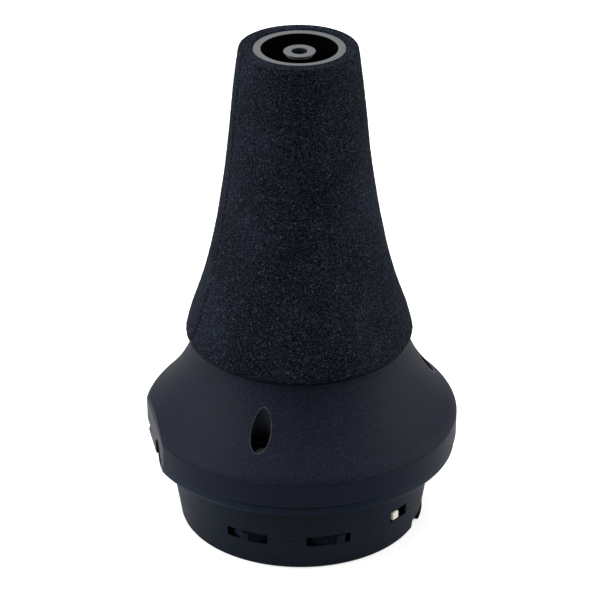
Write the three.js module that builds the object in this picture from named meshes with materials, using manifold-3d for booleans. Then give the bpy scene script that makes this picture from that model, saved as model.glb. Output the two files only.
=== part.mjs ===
// A trumpet practice mute with a built-in pickup and headphone amplifier.
// A foam-covered cone fits the bell, a hollow bulb below it is the sound chamber, and a round
// control base carries two thumbwheels, a slide switch, the circuit board and two cells.
// Millimetres, +Z up, origin at the centre of the foot. The front, with the thumbwheels, faces -Y.
// Azimuths are degrees from the front, positive towards +X.

import * as THREE from 'three';
import { mergeVertices } from 'three/addons/utils/BufferGeometryUtils.js';
import Module from 'manifold-3d';

const wasm = await Module();
wasm.setup();

// Fits
const SEAT_GAP = 0.3;
const RUNNING_GAP = 0.15;
const OVERRUN = 2;
const MERGE_DISTANCE = 0.0001;

// Facet counts
const HULL_FACETS = 48;
const CORE_FACETS = 32;
const SMALL_FACETS = 16;
const INNER_FACETS = 12;
const DRIVE_FACETS = 6;
const LEAD_FACETS = 8;
const LEAD_STEPS = 6;
const ROUND_STEPS = 3;
const FLANK_STEPS = 6;

// Heights, stacked from the foot up
const CAP_HEIGHT = 10.9;
const SKIRT_HEIGHT = 15;
const PLATE_THICKNESS = 2;
const BAND_HEIGHT = 7.7;
const FLANK_RISE = 26.2;
const FOAM_BELLY_RISE = 3.6;
const CONE_LENGTH = 97.6;

// Foam sleeve and the cone that carries it
const FOAM_TIP_THICKNESS = 3.9;
const FOAM_BELLY_THICKNESS = 5;
const FOAM_FOOT_INSET = 2.2;
const FOAM_TIP_ROUND = 0.9;
const CORE_TIP_RADIUS = 14.1;
const CORE_FOOT_RADIUS = 30.6;
const CORE_WALL = 2;
const CORE_FLANGE_WIDTH = 0.9;
const CORE_FLANGE_THICKNESS = 2;
const FLARE_SHARES = [
  [0, 1], [0.064, 0.909], [0.128, 0.79], [0.213, 0.648], [0.319, 0.506],
  [0.447, 0.375], [0.617, 0.239], [1, 0],
];

// Grey ring at the mouth
const RING_WALL = 2.43;
const RING_HEIGHT = 6;
const SPIGOT_LENGTH = 5;

// Air tube
const NOZZLE_RADIUS = 4.88;
const NOZZLE_INSET = 0.9;
const NOZZLE_LIP = 1.2;
const NOZZLE_GROOVE = 0.7;
const NOZZLE_GROOVE_DEPTH = 0.9;
const NOZZLE_COLLAR = 0.8;
const TUBE_RADIUS = 3.6;
const TUBE_BORE_RADIUS = 2.4;
const TUBE_FOOT_HEIGHT = 1;

// Spider that centres the tube
const SPIDER_DROP = 32;
const SPIDER_THICKNESS = 3;
const SPIDER_RIM = 1.6;
const SPIDER_HUB = 1.8;
const SPIDER_LEG_WIDTH = 2.2;
const SPIDER_LEGS = 3;

// Bulb
const FLANK_WIDTH = 15.7;
const SHELL_FOOT_DRAFT = 1;
const SHELL_WALL = 2.6;
const SHELL_FOOT_BEVEL = 0.4;
const SHOULDER_RUN = 2.7;
const SHOULDER_RISE = 4.2;
const SHOULDER_BEND_RISE = 1.5;
const NECK_WALL = 3.6;
const NECK_STRAIGHT = 1.4;
const NECK_BEVEL = 0.3;
const NECK_LIP = 2.2;
const FLANK_BEND_RADIUS_SHARE = 0.228;
const FLANK_BEND_HEIGHT_SHARE = 0.487;

// Flat land on the left flank, and the opening in it
const LAND_AZIMUTH = -78.4;
const LAND_DEPTH = 3.15;
const LAND_WALL = 2.2;
const PLATE_LAND_SETBACK = 1.05;
const SOCKET_OFFSET = 5.6;
const SOCKET_SINK = 0.5;
const SOCKET_RADIUS = 4.8;

// Screws from above, in their wells
const WELL_AZIMUTHS = [-17, 103, 223];
const WELL_INSET = 10.2;
const WELL_RADIUS = 3.6;
const WELL_WALL = 1.6;
const WELL_FLOOR_RISE = 4.1;
const WELL_FLOOR = 2;
const SHELL_HEAD_RADIUS = 2.9;
const SHELL_HEAD_THICKNESS = 1.8;
const SHANK_RADIUS = 1.3;
const SHELL_SHANK_LENGTH = 10;
const POST_RADIUS = 3.4;
const DRIVE_RADIUS = 1.2;
const DRIVE_DEPTH = 0.9;
const HEAD_BEVEL = 0.6;

// Plate and skirt, one moulding
const PLATE_OVERHANG = 0.3;
const PLATE_ROUND = 0.6;
const SKIRT_DRAFT = 0.7;
const SKIRT_STEP = 0.2;
const SKIRT_WALL = 2.4;
const SKIRT_BEVEL = 0.3;
const SEAL_BORE_GAP = 0.3;
const SEAL_NECK_WALL = 1.4;
const SEAL_FLANGE_WIDTH = 1.9;
const SEAL_FLANGE_THICKNESS = 1.2;

// Bottom cap
const CAP_DRAFT = 1.2;
const CAP_FOOT_ROUND = 1.4;
const CAP_WALL = 2.3;
const RIM_WIDTH = 3.5;
const FLOOR_UNDERSIDE = 2.8;
const FLOOR_THICKNESS = 1.6;

// Cap screws, from below
const CAP_SCREW_AZIMUTHS = [75, -75, 180];
const CAP_SCREW_INSET = 4;
const CAP_BOSS_RADIUS = 3;
const CAP_SEAT_RADIUS = 4.4;
const CAP_SEAT_HEIGHT = 4.5;
const CAP_HEAD_RADIUS = 2.8;
const CAP_HEAD_THICKNESS = 1.8;
const CAP_SHANK_LENGTH = 17;
const CAP_POST_LENGTH = 9.4;

// Thumbwheels
const WHEEL_RADIUS = 9;
const WHEEL_THICKNESS = 2.7;
const WHEEL_CLEARANCE = 0.4;
const WHEEL_PROTRUSION = 0.6;
const WHEEL_RIBS = 40;
const RIB_DEPTH = 0.35;
const PATCH_RISE = 0.55;
const PATCH_HALF_ANGLE = 9;
const PLAIN_RECESS = 0.5;
const PLAIN_ANGLE = 62;
const WHEEL_SHAFT_RADIUS = 2;
const WHEEL_SHAFT_LENGTH = 1.9;
const WINDOW_DROP = 2;
const WINDOW_WIDTH = 13.4;
const VOLUME_AZIMUTH = -24.9;
const TONE_AZIMUTH = 13.15;
const VOLUME_MARK_ANGLE = -3.5;
const TONE_MARK_ANGLE = 21;
const POT_SIZE = 9;

// Slide switch
const SWITCH_AZIMUTH = 49.9;
const SWITCH_WINDOW_WIDTH = 7.5;
const SWITCH_WINDOW_DROP = 0.3;
const SWITCH_WINDOW_MARGIN = 0.35;
const NUB_WIDTH = 3;
const NUB_HEIGHT = 3;
const NUB_PROTRUSION = 1.2;
const NUB_EDGE = 0.35;
const NUB_START = 1.75;
const SWITCH_BODY_WIDTH = 8.6;
const SWITCH_BODY_DEPTH = 5.3;
const SWITCH_BODY_MARGIN = 0.4;

// Battery bay, cells and contacts
const CELL_RADIUS = 5.2;
const CELL_LENGTH = 44.5;
const CELL_BUTTON_RADIUS = 1.9;
const CELL_BUTTON_LENGTH = 0.8;
const CELL_BEVEL = 0.4;
const BAY_SPINE = 0.8;
const BAY_WALL = 1.2;
const BAY_ROOF = 0.8;
const CONTACT_THICKNESS = 0.9;
const CONTACT_WIDTH = 7;
const CONTACT_HEIGHT = 8;
const CONTACT_LEAF = 0.5;

// Battery cover
const COVER_UNDERSIDE = 0.8;
const COVER_THICKNESS = 1.6;
const COVER_EDGE_GAP = 0.4;
const COVER_HOLE_GAP = 0.8;
const TAB_AZIMUTHS = [80, -100];
const TAB_HALF_ANGLE = 6;
const TAB_INSET = 0.4;
const TAB_ROOT = 1.5;
const NOTCH_START_ANGLE = 11;
const NOTCH_END_ANGLE = 17.3;
const LUG_AZIMUTHS = [15, 135, 255];
const LUG_BAY_GAP = 1.1;
const LUG_WIDTH = 1.8;
const LUG_STEM_HALF_ANGLE = 2.5;
const LUG_TOE_ANGLE = 6.5;
const LUG_TOE_THICKNESS = 1.3;
const SLOT_BACK_ANGLE = 3.2;
const SLOT_FRONT_ANGLE = 15;
const SLOT_EDGE = 2;

// Board and what is on it
const BOARD_EDGE_GAP = 1.2;
const BOARD_THICKNESS = 1.6;
const CHIP_SIZE = 7;
const CHIP_THICKNESS = 1.6;
const CHIP_PLACE = [0, 15];
const CAPACITOR_RADIUS = 2.5;
const CAPACITOR_HEIGHT = 6;
const CAPACITOR_ROW_X = -15;
const CAPACITOR_ROW_START_Y = 6;
const CAPACITOR_PITCH = 7;
const CAPACITOR_COUNT = 3;

// Headphone socket
const SOCKET_BODY_WIDTH = 7;
const SOCKET_BODY_HEIGHT = 4.6;
const SOCKET_BODY_DEPTH = 11.2;
const SOCKET_BORE_RADIUS = 1.8;
const SOCKET_BORE_DEPTH = 9;
const SOCKET_LEAD_DROP = 5;

// Pickup microphone
const MIC_PLACE = [14, 10];
const MIC_RADIUS = 2.9;
const MIC_HEIGHT = 4.2;
const MIC_SEAT_RISE = 0.7;
const GROMMET_WALL = 0.9;
const GROMMET_FLANGE = 1.3;
const GROMMET_RISE = 2.2;
const LEAD_RADIUS = 0.8;

// Heights that follow from the sizes above
const SKIRT_FOOT = CAP_HEIGHT + SEAT_GAP;
const PLATE_UNDERSIDE = SKIRT_FOOT + SKIRT_HEIGHT;
const PLATE_TOP = PLATE_UNDERSIDE + PLATE_THICKNESS;
const PLATE_MIDDLE = PLATE_UNDERSIDE + PLATE_THICKNESS / 2;
const SHELL_FOOT = PLATE_TOP + SEAT_GAP;
const CREASE_HEIGHT = SHELL_FOOT + BAND_HEIGHT;
const SHELL_TOP = CREASE_HEIGHT + FLANK_RISE;
const FOAM_BELLY_HEIGHT = SHELL_TOP + FOAM_BELLY_RISE;
const OVERALL_HEIGHT = SHELL_TOP + CONE_LENGTH;
const SPIDER_HEIGHT = OVERALL_HEIGHT - SPIDER_DROP;
const WELL_FLOOR_HEIGHT = CREASE_HEIGHT + WELL_FLOOR_RISE;
const SOCKET_HEIGHT = PLATE_TOP - SOCKET_SINK;
const MIC_UNDERSIDE = PLATE_UNDERSIDE + MIC_SEAT_RISE;
const GROMMET_TOP = PLATE_TOP + GROMMET_RISE;
const WINDOW_UNDERSIDE = CAP_HEIGHT - WINDOW_DROP;
const WHEEL_UNDERSIDE = WINDOW_UNDERSIDE + WHEEL_CLEARANCE;
const WINDOW_HEIGHT = WHEEL_THICKNESS + 2 * WHEEL_CLEARANCE;
const SWITCH_WINDOW_UNDERSIDE = CAP_HEIGHT - SWITCH_WINDOW_DROP;
const SWITCH_WINDOW_HEIGHT = NUB_HEIGHT + 2 * SWITCH_WINDOW_MARGIN;
const SWITCH_BODY_UNDERSIDE = SWITCH_WINDOW_UNDERSIDE - SWITCH_BODY_MARGIN;
const FLOOR_TOP = FLOOR_UNDERSIDE + FLOOR_THICKNESS;
const CELL_HEIGHT = FLOOR_UNDERSIDE + SEAT_GAP + CELL_RADIUS;
const BAY_CEILING = CELL_HEIGHT + CELL_RADIUS + SEAT_GAP;
const BAY_TOP = BAY_CEILING + BAY_ROOF;
const BOARD_UNDERSIDE = BAY_TOP + SEAT_GAP;
const BOARD_TOP = BOARD_UNDERSIDE + BOARD_THICKNESS;
const COVER_TOP = COVER_UNDERSIDE + COVER_THICKNESS;
const CAP_HEAD_CEILING = FLOOR_UNDERSIDE + CAP_HEAD_THICKNESS + 2 * SEAT_GAP;

// The cone's and the bulb's radii, from the core outwards
const FOAM_TIP_RADIUS = CORE_TIP_RADIUS + FOAM_TIP_THICKNESS;
const FOAM_BELLY_RADIUS = CORE_FOOT_RADIUS + FOAM_BELLY_THICKNESS;
const NECK_RADIUS = CORE_FOOT_RADIUS + NECK_WALL;
const BULB_RADIUS = NECK_RADIUS + FLANK_WIDTH;
const SHELL_FOOT_RADIUS = BULB_RADIUS - SHELL_FOOT_DRAFT;
const PLATE_RADIUS = SHELL_FOOT_RADIUS + PLATE_OVERHANG;
const LAND_DISTANCE = BULB_RADIUS - LAND_DEPTH;
const WELL_CENTRE_RADIUS = BULB_RADIUS - WELL_INSET;

// The control base's lengths and radii, from the cells outwards
const SHANK_HOLE_RADIUS = SHANK_RADIUS + SEAT_GAP;
const TUBE_HOLE_RADIUS = TUBE_RADIUS + SEAT_GAP + SEAL_NECK_WALL + SEAL_BORE_GAP;
const CAVITY_HALF_WIDTH = CELL_RADIUS + SEAT_GAP;
const CELL_OFFSET = TUBE_RADIUS + SEAT_GAP + BAY_SPINE + CAVITY_HALF_WIDTH;
const CAVITY_HALF_LENGTH = CELL_LENGTH / 2 + SEAT_GAP + CONTACT_THICKNESS + SEAT_GAP;
const BAY_HALF_LENGTH = CAVITY_HALF_LENGTH + BAY_WALL;
const BAY_HALF_WIDTH = CELL_OFFSET + CAVITY_HALF_WIDTH + BAY_WALL;
const LUG_INNER_RADIUS = Math.hypot(BAY_HALF_LENGTH, BAY_HALF_WIDTH) + LUG_BAY_GAP;
const RIM_INNER_RADIUS = LUG_INNER_RADIUS + LUG_WIDTH + SEAT_GAP + SLOT_EDGE;
const CAP_FOOT_RADIUS = RIM_INNER_RADIUS + RIM_WIDTH;
const CAP_TOP_RADIUS = CAP_FOOT_RADIUS + CAP_DRAFT;
const SKIRT_FOOT_RADIUS = CAP_TOP_RADIUS - SKIRT_STEP;
const SKIRT_TOP_RADIUS = SKIRT_FOOT_RADIUS + SKIRT_DRAFT;
const BOARD_RADIUS = SKIRT_FOOT_RADIUS - SKIRT_WALL - BOARD_EDGE_GAP;
const CAP_SCREW_RADIUS = BOARD_RADIUS - CAP_SCREW_INSET;
const SWITCH_BODY_INNER_RADIUS = BOARD_RADIUS + SEAT_GAP - SWITCH_BODY_DEPTH;
const WHEEL_CENTRE_RADIUS = SKIRT_FOOT_RADIUS + WHEEL_PROTRUSION - WHEEL_RADIUS;
const COVER_RADIUS = RIM_INNER_RADIUS - COVER_EDGE_GAP;
const TAB_RADIUS = CAP_FOOT_RADIUS - TAB_INSET;
const SOCKET_FACE = LAND_DISTANCE - LAND_WALL - SEAT_GAP;
const LEAD_HOLE_DISTANCE = SOCKET_FACE - SOCKET_BODY_DEPTH - SOCKET_LEAD_DROP;
const CORE_TOP = OVERALL_HEIGHT - RING_HEIGHT - SEAT_GAP;

const FULL_TURN = 360;
const QUARTER_TURN = FULL_TURN / 4;

const radians = THREE.MathUtils.degToRad;
const polar = (azimuth) => radians(azimuth) - Math.PI / 2;

// Geometry helpers

/** A copy of a geometry with shared vertices, no slivers and its faces pointing out. */
function closed(geometry) {
  const bare = geometry.clone();
  bare.deleteAttribute('normal');
  bare.deleteAttribute('uv');
  const merged = mergeVertices(bare, MERGE_DISTANCE);
  const place = merged.attributes.position;
  const kept = [];
  const corner = [new THREE.Vector3(), new THREE.Vector3(), new THREE.Vector3()];
  let volume = 0;
  for (let i = 0; i < merged.index.count; i += 3) {
    const ids = [0, 1, 2].map((k) => merged.index.getX(i + k));
    if (ids[0] === ids[1] || ids[1] === ids[2] || ids[2] === ids[0]) continue;
    ids.forEach((id, k) => corner[k].fromBufferAttribute(place, id));
    volume += corner[0].dot(corner[1].clone().cross(corner[2]));
    kept.push(ids);
  }
  merged.setIndex(kept.flatMap(([a, b, c]) => (volume < 0 ? [a, c, b] : [a, b, c])));
  return merged;
}

function toSolid(geometry) {
  const tidy = closed(geometry);
  const mesh = new wasm.Mesh({
    numProp: 3,
    vertProperties: new Float32Array(tidy.attributes.position.array),
    triVerts: new Uint32Array(tidy.index.array),
  });
  return new wasm.Manifold(mesh);
}

function toGeometry(solid) {
  const mesh = solid.getMesh();
  const points = new Float32Array((mesh.vertProperties.length / mesh.numProp) * 3);
  for (let i = 0; i < points.length / 3; i += 1) {
    points.set(mesh.vertProperties.subarray(i * mesh.numProp, i * mesh.numProp + 3), i * 3);
  }
  const geometry = new THREE.BufferGeometry();
  geometry.setAttribute('position', new THREE.BufferAttribute(points, 3));
  geometry.setIndex(Array.from(mesh.triVerts));
  return geometry;
}

const joined = (...geometries) => toGeometry(geometries.map(toSolid).reduce((a, b) => a.add(b)));
const cutBy = (geometry, tools) => toGeometry(
  tools.map(toSolid).reduce((solid, tool) => solid.subtract(tool), toSolid(geometry)));
const common = (a, b) => toGeometry(toSolid(a).intersect(toSolid(b)));

/** Turns an outline of [radius, height] points about the Z axis. */
function turned(outline, facets = HULL_FACETS) {
  const points = outline.map(([radius, height]) => new THREE.Vector2(radius, height));
  const onAxis = outline[0][0] === 0 && outline[outline.length - 1][0] === 0;
  if (!onAxis) points.push(points[0].clone());
  return closed(new THREE.LatheGeometry(points, facets).rotateX(Math.PI / 2));
}

const disc = (radius, low, high, facets = SMALL_FACETS) => turned(
  [[0, low], [radius, low], [radius, high], [0, high]], facets);

const hoop = (inner, outer, low, high, facets) => turned(
  [[inner, low], [outer, low], [outer, high], [inner, high]], facets);

const box = (width, depth, height) => new THREE.BoxGeometry(width, depth, height);

/** A block whose corners are given by its low and high X, Y and Z. */
function block([x0, x1], [y0, y1], [z0, z1]) {
  return box(x1 - x0, y1 - y0, z1 - z0).translate((x0 + x1) / 2, (y0 + y1) / 2, (z0 + z1) / 2);
}

/** The curveSegments that give an arc a number of facets, because an arc gets two for each. */
const arcSegments = (facets) => Math.ceil(facets / 2);

/** A ring sector between two azimuths. */
function sector(inner, outer, from, to, low, high) {
  const shape = new THREE.Shape();
  shape.absarc(0, 0, outer, polar(from), polar(to), false);
  shape.absarc(0, 0, inner, polar(to), polar(from), true);
  const body = new THREE.ExtrudeGeometry(shape, {
    depth: high - low, bevelEnabled: false, curveSegments: arcSegments((to - from) * HULL_FACETS / FULL_TURN),
  });
  return body.translate(0, 0, low);
}

/** Turns a geometry made about +X so that +X points out at an azimuth. */
const facing = (geometry, azimuth) => geometry.clone().rotateZ(polar(azimuth));
const outAt = (geometry, azimuth, radius) => facing(geometry.clone().translate(radius, 0, 0), azimuth);

/** A point at an azimuth and radius. */
function around(azimuth, radius, height = 0) {
  return new THREE.Vector3(radius * Math.cos(polar(azimuth)), radius * Math.sin(polar(azimuth)), height);
}

/** A point in the frame of the flat land: out from the axis, along the land, and up. */
function onLand(distance, along, height) {
  const out = around(LAND_AZIMUTH, distance, height);
  const across = around(LAND_AZIMUTH + QUARTER_TURN, along);
  return out.add(across);
}

/** Places a geometry made with +X out and +Y along the land. */
function toLand(geometry, distance, along, height) {
  const place = onLand(distance, along, height);
  return geometry.clone().rotateZ(polar(LAND_AZIMUTH)).translate(place.x, place.y, place.z);
}

/** Everything that lies further out than the flat land, between two heights. */
function beyondLand(distance, low, high) {
  const reach = 2 * BULB_RADIUS;
  return toLand(block([0, reach], [-reach, reach], [low, high]), distance, 0, 0);
}

/** Points of a curve with one bend point, its start left out. */
function bend([r0, z0], [rb, zb], [r1, z1], steps) {
  const curve = new THREE.QuadraticBezierCurve(
    new THREE.Vector2(r0, z0), new THREE.Vector2(rb, zb), new THREE.Vector2(r1, z1));
  return curve.getPoints(steps).slice(1).map((p) => [p.x, p.y]);
}

/** A lead along points, its ends square to what they meet. */
function lead(points, radius) {
  const section = new THREE.Shape();
  section.absarc(0, 0, radius, 0, 2 * Math.PI, false);
  const path = new THREE.CatmullRomCurve3(points);
  return closed(new THREE.ExtrudeGeometry(section, {
    steps: LEAD_STEPS, curveSegments: arcSegments(LEAD_FACETS), extrudePath: path, bevelEnabled: false,
  }));
}

// Cone and foam

/** Share of the flare that is left at a height, 1 at the foam's belly and 0 at its tip. */
function flareAt(height) {
  const share = THREE.MathUtils.clamp(
    (height - FOAM_BELLY_HEIGHT) / (OVERALL_HEIGHT - FOAM_BELLY_HEIGHT), 0, 1);
  const next = FLARE_SHARES.findIndex(([at]) => at >= share);
  if (next < 1) return 1;
  const [a, fa] = FLARE_SHARES[next - 1];
  const [b, fb] = FLARE_SHARES[next];
  return fa + ((fb - fa) * (share - a)) / (b - a);
}

const foamRadius = (height) => FOAM_TIP_RADIUS + (FOAM_BELLY_RADIUS - FOAM_TIP_RADIUS) * flareAt(height);
const coreRadius = (height) => CORE_TIP_RADIUS + (CORE_FOOT_RADIUS - CORE_TIP_RADIUS) * flareAt(height);

/** Heights of the flare's own points between two heights, with both ends. */
function flareHeights(low, high) {
  const own = FLARE_SHARES.map(([at]) => FOAM_BELLY_HEIGHT + at * (OVERALL_HEIGHT - FOAM_BELLY_HEIGHT));
  return [low, ...own.filter((z) => z > low + MERGE_DISTANCE && z < high - MERGE_DISTANCE), high];
}

function foamSleeve() {
  const foot = SHELL_TOP + SEAT_GAP;
  const footRadius = FOAM_BELLY_RADIUS - FOAM_FOOT_INSET;
  const outer = flareHeights(FOAM_BELLY_HEIGHT, OVERALL_HEIGHT - FOAM_TIP_ROUND)
    .map((z) => [foamRadius(z), z]);
  const inner = flareHeights(foot, OVERALL_HEIGHT).reverse().map((z) => [coreRadius(z) + SEAT_GAP, z]);
  return turned([
    [footRadius, foot],
    ...bend([footRadius, foot], [FOAM_BELLY_RADIUS, foot], outer[0], ROUND_STEPS).slice(0, -1),
    ...outer,
    ...bend(outer[outer.length - 1], [FOAM_TIP_RADIUS, OVERALL_HEIGHT],
      [FOAM_TIP_RADIUS - FOAM_TIP_ROUND, OVERALL_HEIGHT], 2),
    ...inner,
  ]);
}

function coneCore() {
  const flangeTop = SHELL_TOP - NECK_LIP - SEAT_GAP;
  const flangeFoot = flangeTop - CORE_FLANGE_THICKNESS;
  const heights = flareHeights(flangeTop, CORE_TOP);
  const outer = heights.map((z) => [coreRadius(z), z]);
  const inner = [...heights].reverse().map((z) => [coreRadius(z) - CORE_WALL, z]);
  return turned([
    [CORE_FOOT_RADIUS + CORE_FLANGE_WIDTH, flangeFoot],
    [CORE_FOOT_RADIUS + CORE_FLANGE_WIDTH, flangeTop],
    ...outer,
    ...inner,
    [CORE_FOOT_RADIUS - CORE_WALL, flangeFoot],
  ], CORE_FACETS);
}

function tipRing() {
  const foot = OVERALL_HEIGHT - RING_HEIGHT;
  const bore = CORE_TIP_RADIUS - RING_WALL;
  const spigot = coreRadius(CORE_TOP) - CORE_WALL - SEAT_GAP;
  return turned([
    [bore, foot - SPIGOT_LENGTH],
    [spigot, foot - SPIGOT_LENGTH],
    [spigot, foot],
    [coreRadius(foot), foot],
    [coreRadius(OVERALL_HEIGHT), OVERALL_HEIGHT],
    [bore, OVERALL_HEIGHT],
  ], CORE_FACETS);
}

function airTube() {
  const face = OVERALL_HEIGHT - NOZZLE_INSET;
  const lip = face - NOZZLE_LIP;
  const groove = lip - NOZZLE_GROOVE;
  const collar = groove - NOZZLE_COLLAR;
  return turned([
    [TUBE_BORE_RADIUS, TUBE_FOOT_HEIGHT],
    [TUBE_RADIUS, TUBE_FOOT_HEIGHT],
    [TUBE_RADIUS, collar],
    [NOZZLE_RADIUS, collar],
    [NOZZLE_RADIUS, groove],
    [NOZZLE_RADIUS - NOZZLE_GROOVE_DEPTH, groove],
    [NOZZLE_RADIUS - NOZZLE_GROOVE_DEPTH, lip],
    [NOZZLE_RADIUS, lip],
    [NOZZLE_RADIUS, face],
    [TUBE_BORE_RADIUS, face],
  ], SMALL_FACETS);
}

function tubeSpider() {
  const low = SPIDER_HEIGHT;
  const high = SPIDER_HEIGHT + SPIDER_THICKNESS;
  const rim = coreRadius(high) - CORE_WALL - SEAT_GAP;
  const hubBore = TUBE_RADIUS + SEAT_GAP;
  const ring = hoop(rim - SPIDER_RIM, rim, low, high, CORE_FACETS);
  const hub = hoop(hubBore, hubBore + SPIDER_HUB, low, high, SMALL_FACETS);
  const legs = Array.from({ length: SPIDER_LEGS }, (_, i) => facing(block(
    [hubBore + SPIDER_HUB / 2, rim - SPIDER_RIM / 2],
    [-SPIDER_LEG_WIDTH / 2, SPIDER_LEG_WIDTH / 2], [low, high]), (FULL_TURN / SPIDER_LEGS) * i));
  return joined(ring, hub, ...legs);
}

// Bulb

/** Outline of the bulb from its foot to its neck, drawn in by an inset. */
function bulbOutline(inset) {
  const shoulder = [BULB_RADIUS - SHOULDER_RUN - inset, CREASE_HEIGHT + SHOULDER_RISE];
  const neck = [NECK_RADIUS - inset, SHELL_TOP - NECK_STRAIGHT];
  const bendPoint = [
    neck[0] + (shoulder[0] - neck[0]) * FLANK_BEND_RADIUS_SHARE,
    shoulder[1] + (neck[1] - shoulder[1]) * FLANK_BEND_HEIGHT_SHARE,
  ];
  return [
    [BULB_RADIUS - inset, CREASE_HEIGHT],
    ...bend([BULB_RADIUS - inset, CREASE_HEIGHT], [BULB_RADIUS - inset, CREASE_HEIGHT + SHOULDER_BEND_RISE],
      shoulder, ROUND_STEPS),
    ...bend(shoulder, bendPoint, neck, FLANK_STEPS),
  ];
}

function upperShell() {
  const outer = turned([
    [0, SHELL_FOOT],
    [SHELL_FOOT_RADIUS - SHELL_FOOT_BEVEL, SHELL_FOOT],
    [SHELL_FOOT_RADIUS, SHELL_FOOT + SHELL_FOOT_BEVEL],
    ...bulbOutline(0),
    [NECK_RADIUS, SHELL_TOP - NECK_BEVEL],
    [NECK_RADIUS - NECK_BEVEL, SHELL_TOP],
    [0, SHELL_TOP],
  ]);
  const hollow = turned([
    [0, SHELL_FOOT - OVERRUN],
    [SHELL_FOOT_RADIUS - SHELL_WALL, SHELL_FOOT - OVERRUN],
    [SHELL_FOOT_RADIUS - SHELL_WALL, SHELL_FOOT],
    ...bulbOutline(SHELL_WALL),
    [NECK_RADIUS - SHELL_WALL, SHELL_TOP - NECK_LIP],
    [0, SHELL_TOP - NECK_LIP],
  ], CORE_FACETS);
  const chamber = cutBy(hollow, [beyondLand(LAND_DISTANCE - LAND_WALL, 0, OVERALL_HEIGHT)]);
  const shell = cutBy(outer, [chamber, beyondLand(LAND_DISTANCE, 0, OVERALL_HEIGHT)]);
  const tubes = WELL_AZIMUTHS.map((azimuth) => common(outer, outAt(
    disc(WELL_RADIUS + WELL_WALL, WELL_FLOOR_HEIGHT - WELL_FLOOR, SHELL_TOP), azimuth, WELL_CENTRE_RADIUS)));
  const wells = WELL_AZIMUTHS.flatMap((azimuth) => [
    outAt(disc(WELL_RADIUS, WELL_FLOOR_HEIGHT, SHELL_TOP + OVERRUN), azimuth, WELL_CENTRE_RADIUS),
    outAt(disc(SHANK_HOLE_RADIUS, SHELL_FOOT, SHELL_TOP), azimuth, WELL_CENTRE_RADIUS),
  ]);
  const neckHole = disc(
    CORE_FOOT_RADIUS + SEAT_GAP, SHELL_TOP - NECK_LIP - OVERRUN, SHELL_TOP + OVERRUN, CORE_FACETS);
  return cutBy(joined(shell, ...tubes), [...wells, neckHole, socketOpening()]);
}

/** The round opening for a plug, through the land and the plate's edge. */
function socketOpening() {
  const reach = LAND_WALL + OVERRUN;
  const tool = disc(SOCKET_RADIUS, -reach, reach).rotateY(Math.PI / 2);
  return toLand(tool, LAND_DISTANCE, SOCKET_OFFSET, SOCKET_HEIGHT);
}

// Screws

/** A pan-head screw that points down from its head's seat at height zero, with a round drive recess. */
function screw(headRadius, headThickness, shankLength) {
  const body = turned([
    [0, -shankLength], [SHANK_RADIUS, -shankLength], [SHANK_RADIUS, 0], [headRadius, 0],
    [headRadius, headThickness - HEAD_BEVEL], [headRadius - HEAD_BEVEL, headThickness], [0, headThickness],
  ], INNER_FACETS);
  return cutBy(body, [
    disc(DRIVE_RADIUS, headThickness - DRIVE_DEPTH, headThickness + OVERRUN, DRIVE_FACETS),
  ]);
}

const shellScrew = () => screw(SHELL_HEAD_RADIUS, SHELL_HEAD_THICKNESS, SHELL_SHANK_LENGTH);
const capScrew = () => screw(CAP_HEAD_RADIUS, CAP_HEAD_THICKNESS, CAP_SHANK_LENGTH).rotateX(Math.PI);

// Control base

/** The two cuts that let a thumbwheel turn and show. */
function wheelCuts(azimuth) {
  const low = WINDOW_UNDERSIDE;
  const high = WINDOW_UNDERSIDE + WINDOW_HEIGHT;
  const room = WHEEL_RADIUS + PATCH_RISE + SEAT_GAP;
  const window = block([WHEEL_CENTRE_RADIUS, SKIRT_TOP_RADIUS + OVERRUN],
    [-WINDOW_WIDTH / 2, WINDOW_WIDTH / 2], [low, high]);
  return [facing(window, azimuth), outAt(disc(room, low, high, CORE_FACETS), azimuth, WHEEL_CENTRE_RADIUS)];
}

function switchCut() {
  const low = SWITCH_WINDOW_UNDERSIDE;
  return facing(block([SWITCH_BODY_INNER_RADIUS, SKIRT_TOP_RADIUS + OVERRUN],
    [-SWITCH_WINDOW_WIDTH / 2, SWITCH_WINDOW_WIDTH / 2], [low, low + SWITCH_WINDOW_HEIGHT]), SWITCH_AZIMUTH);
}

const controlCuts = () => [...wheelCuts(VOLUME_AZIMUTH), ...wheelCuts(TONE_AZIMUTH), switchCut()];

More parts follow.
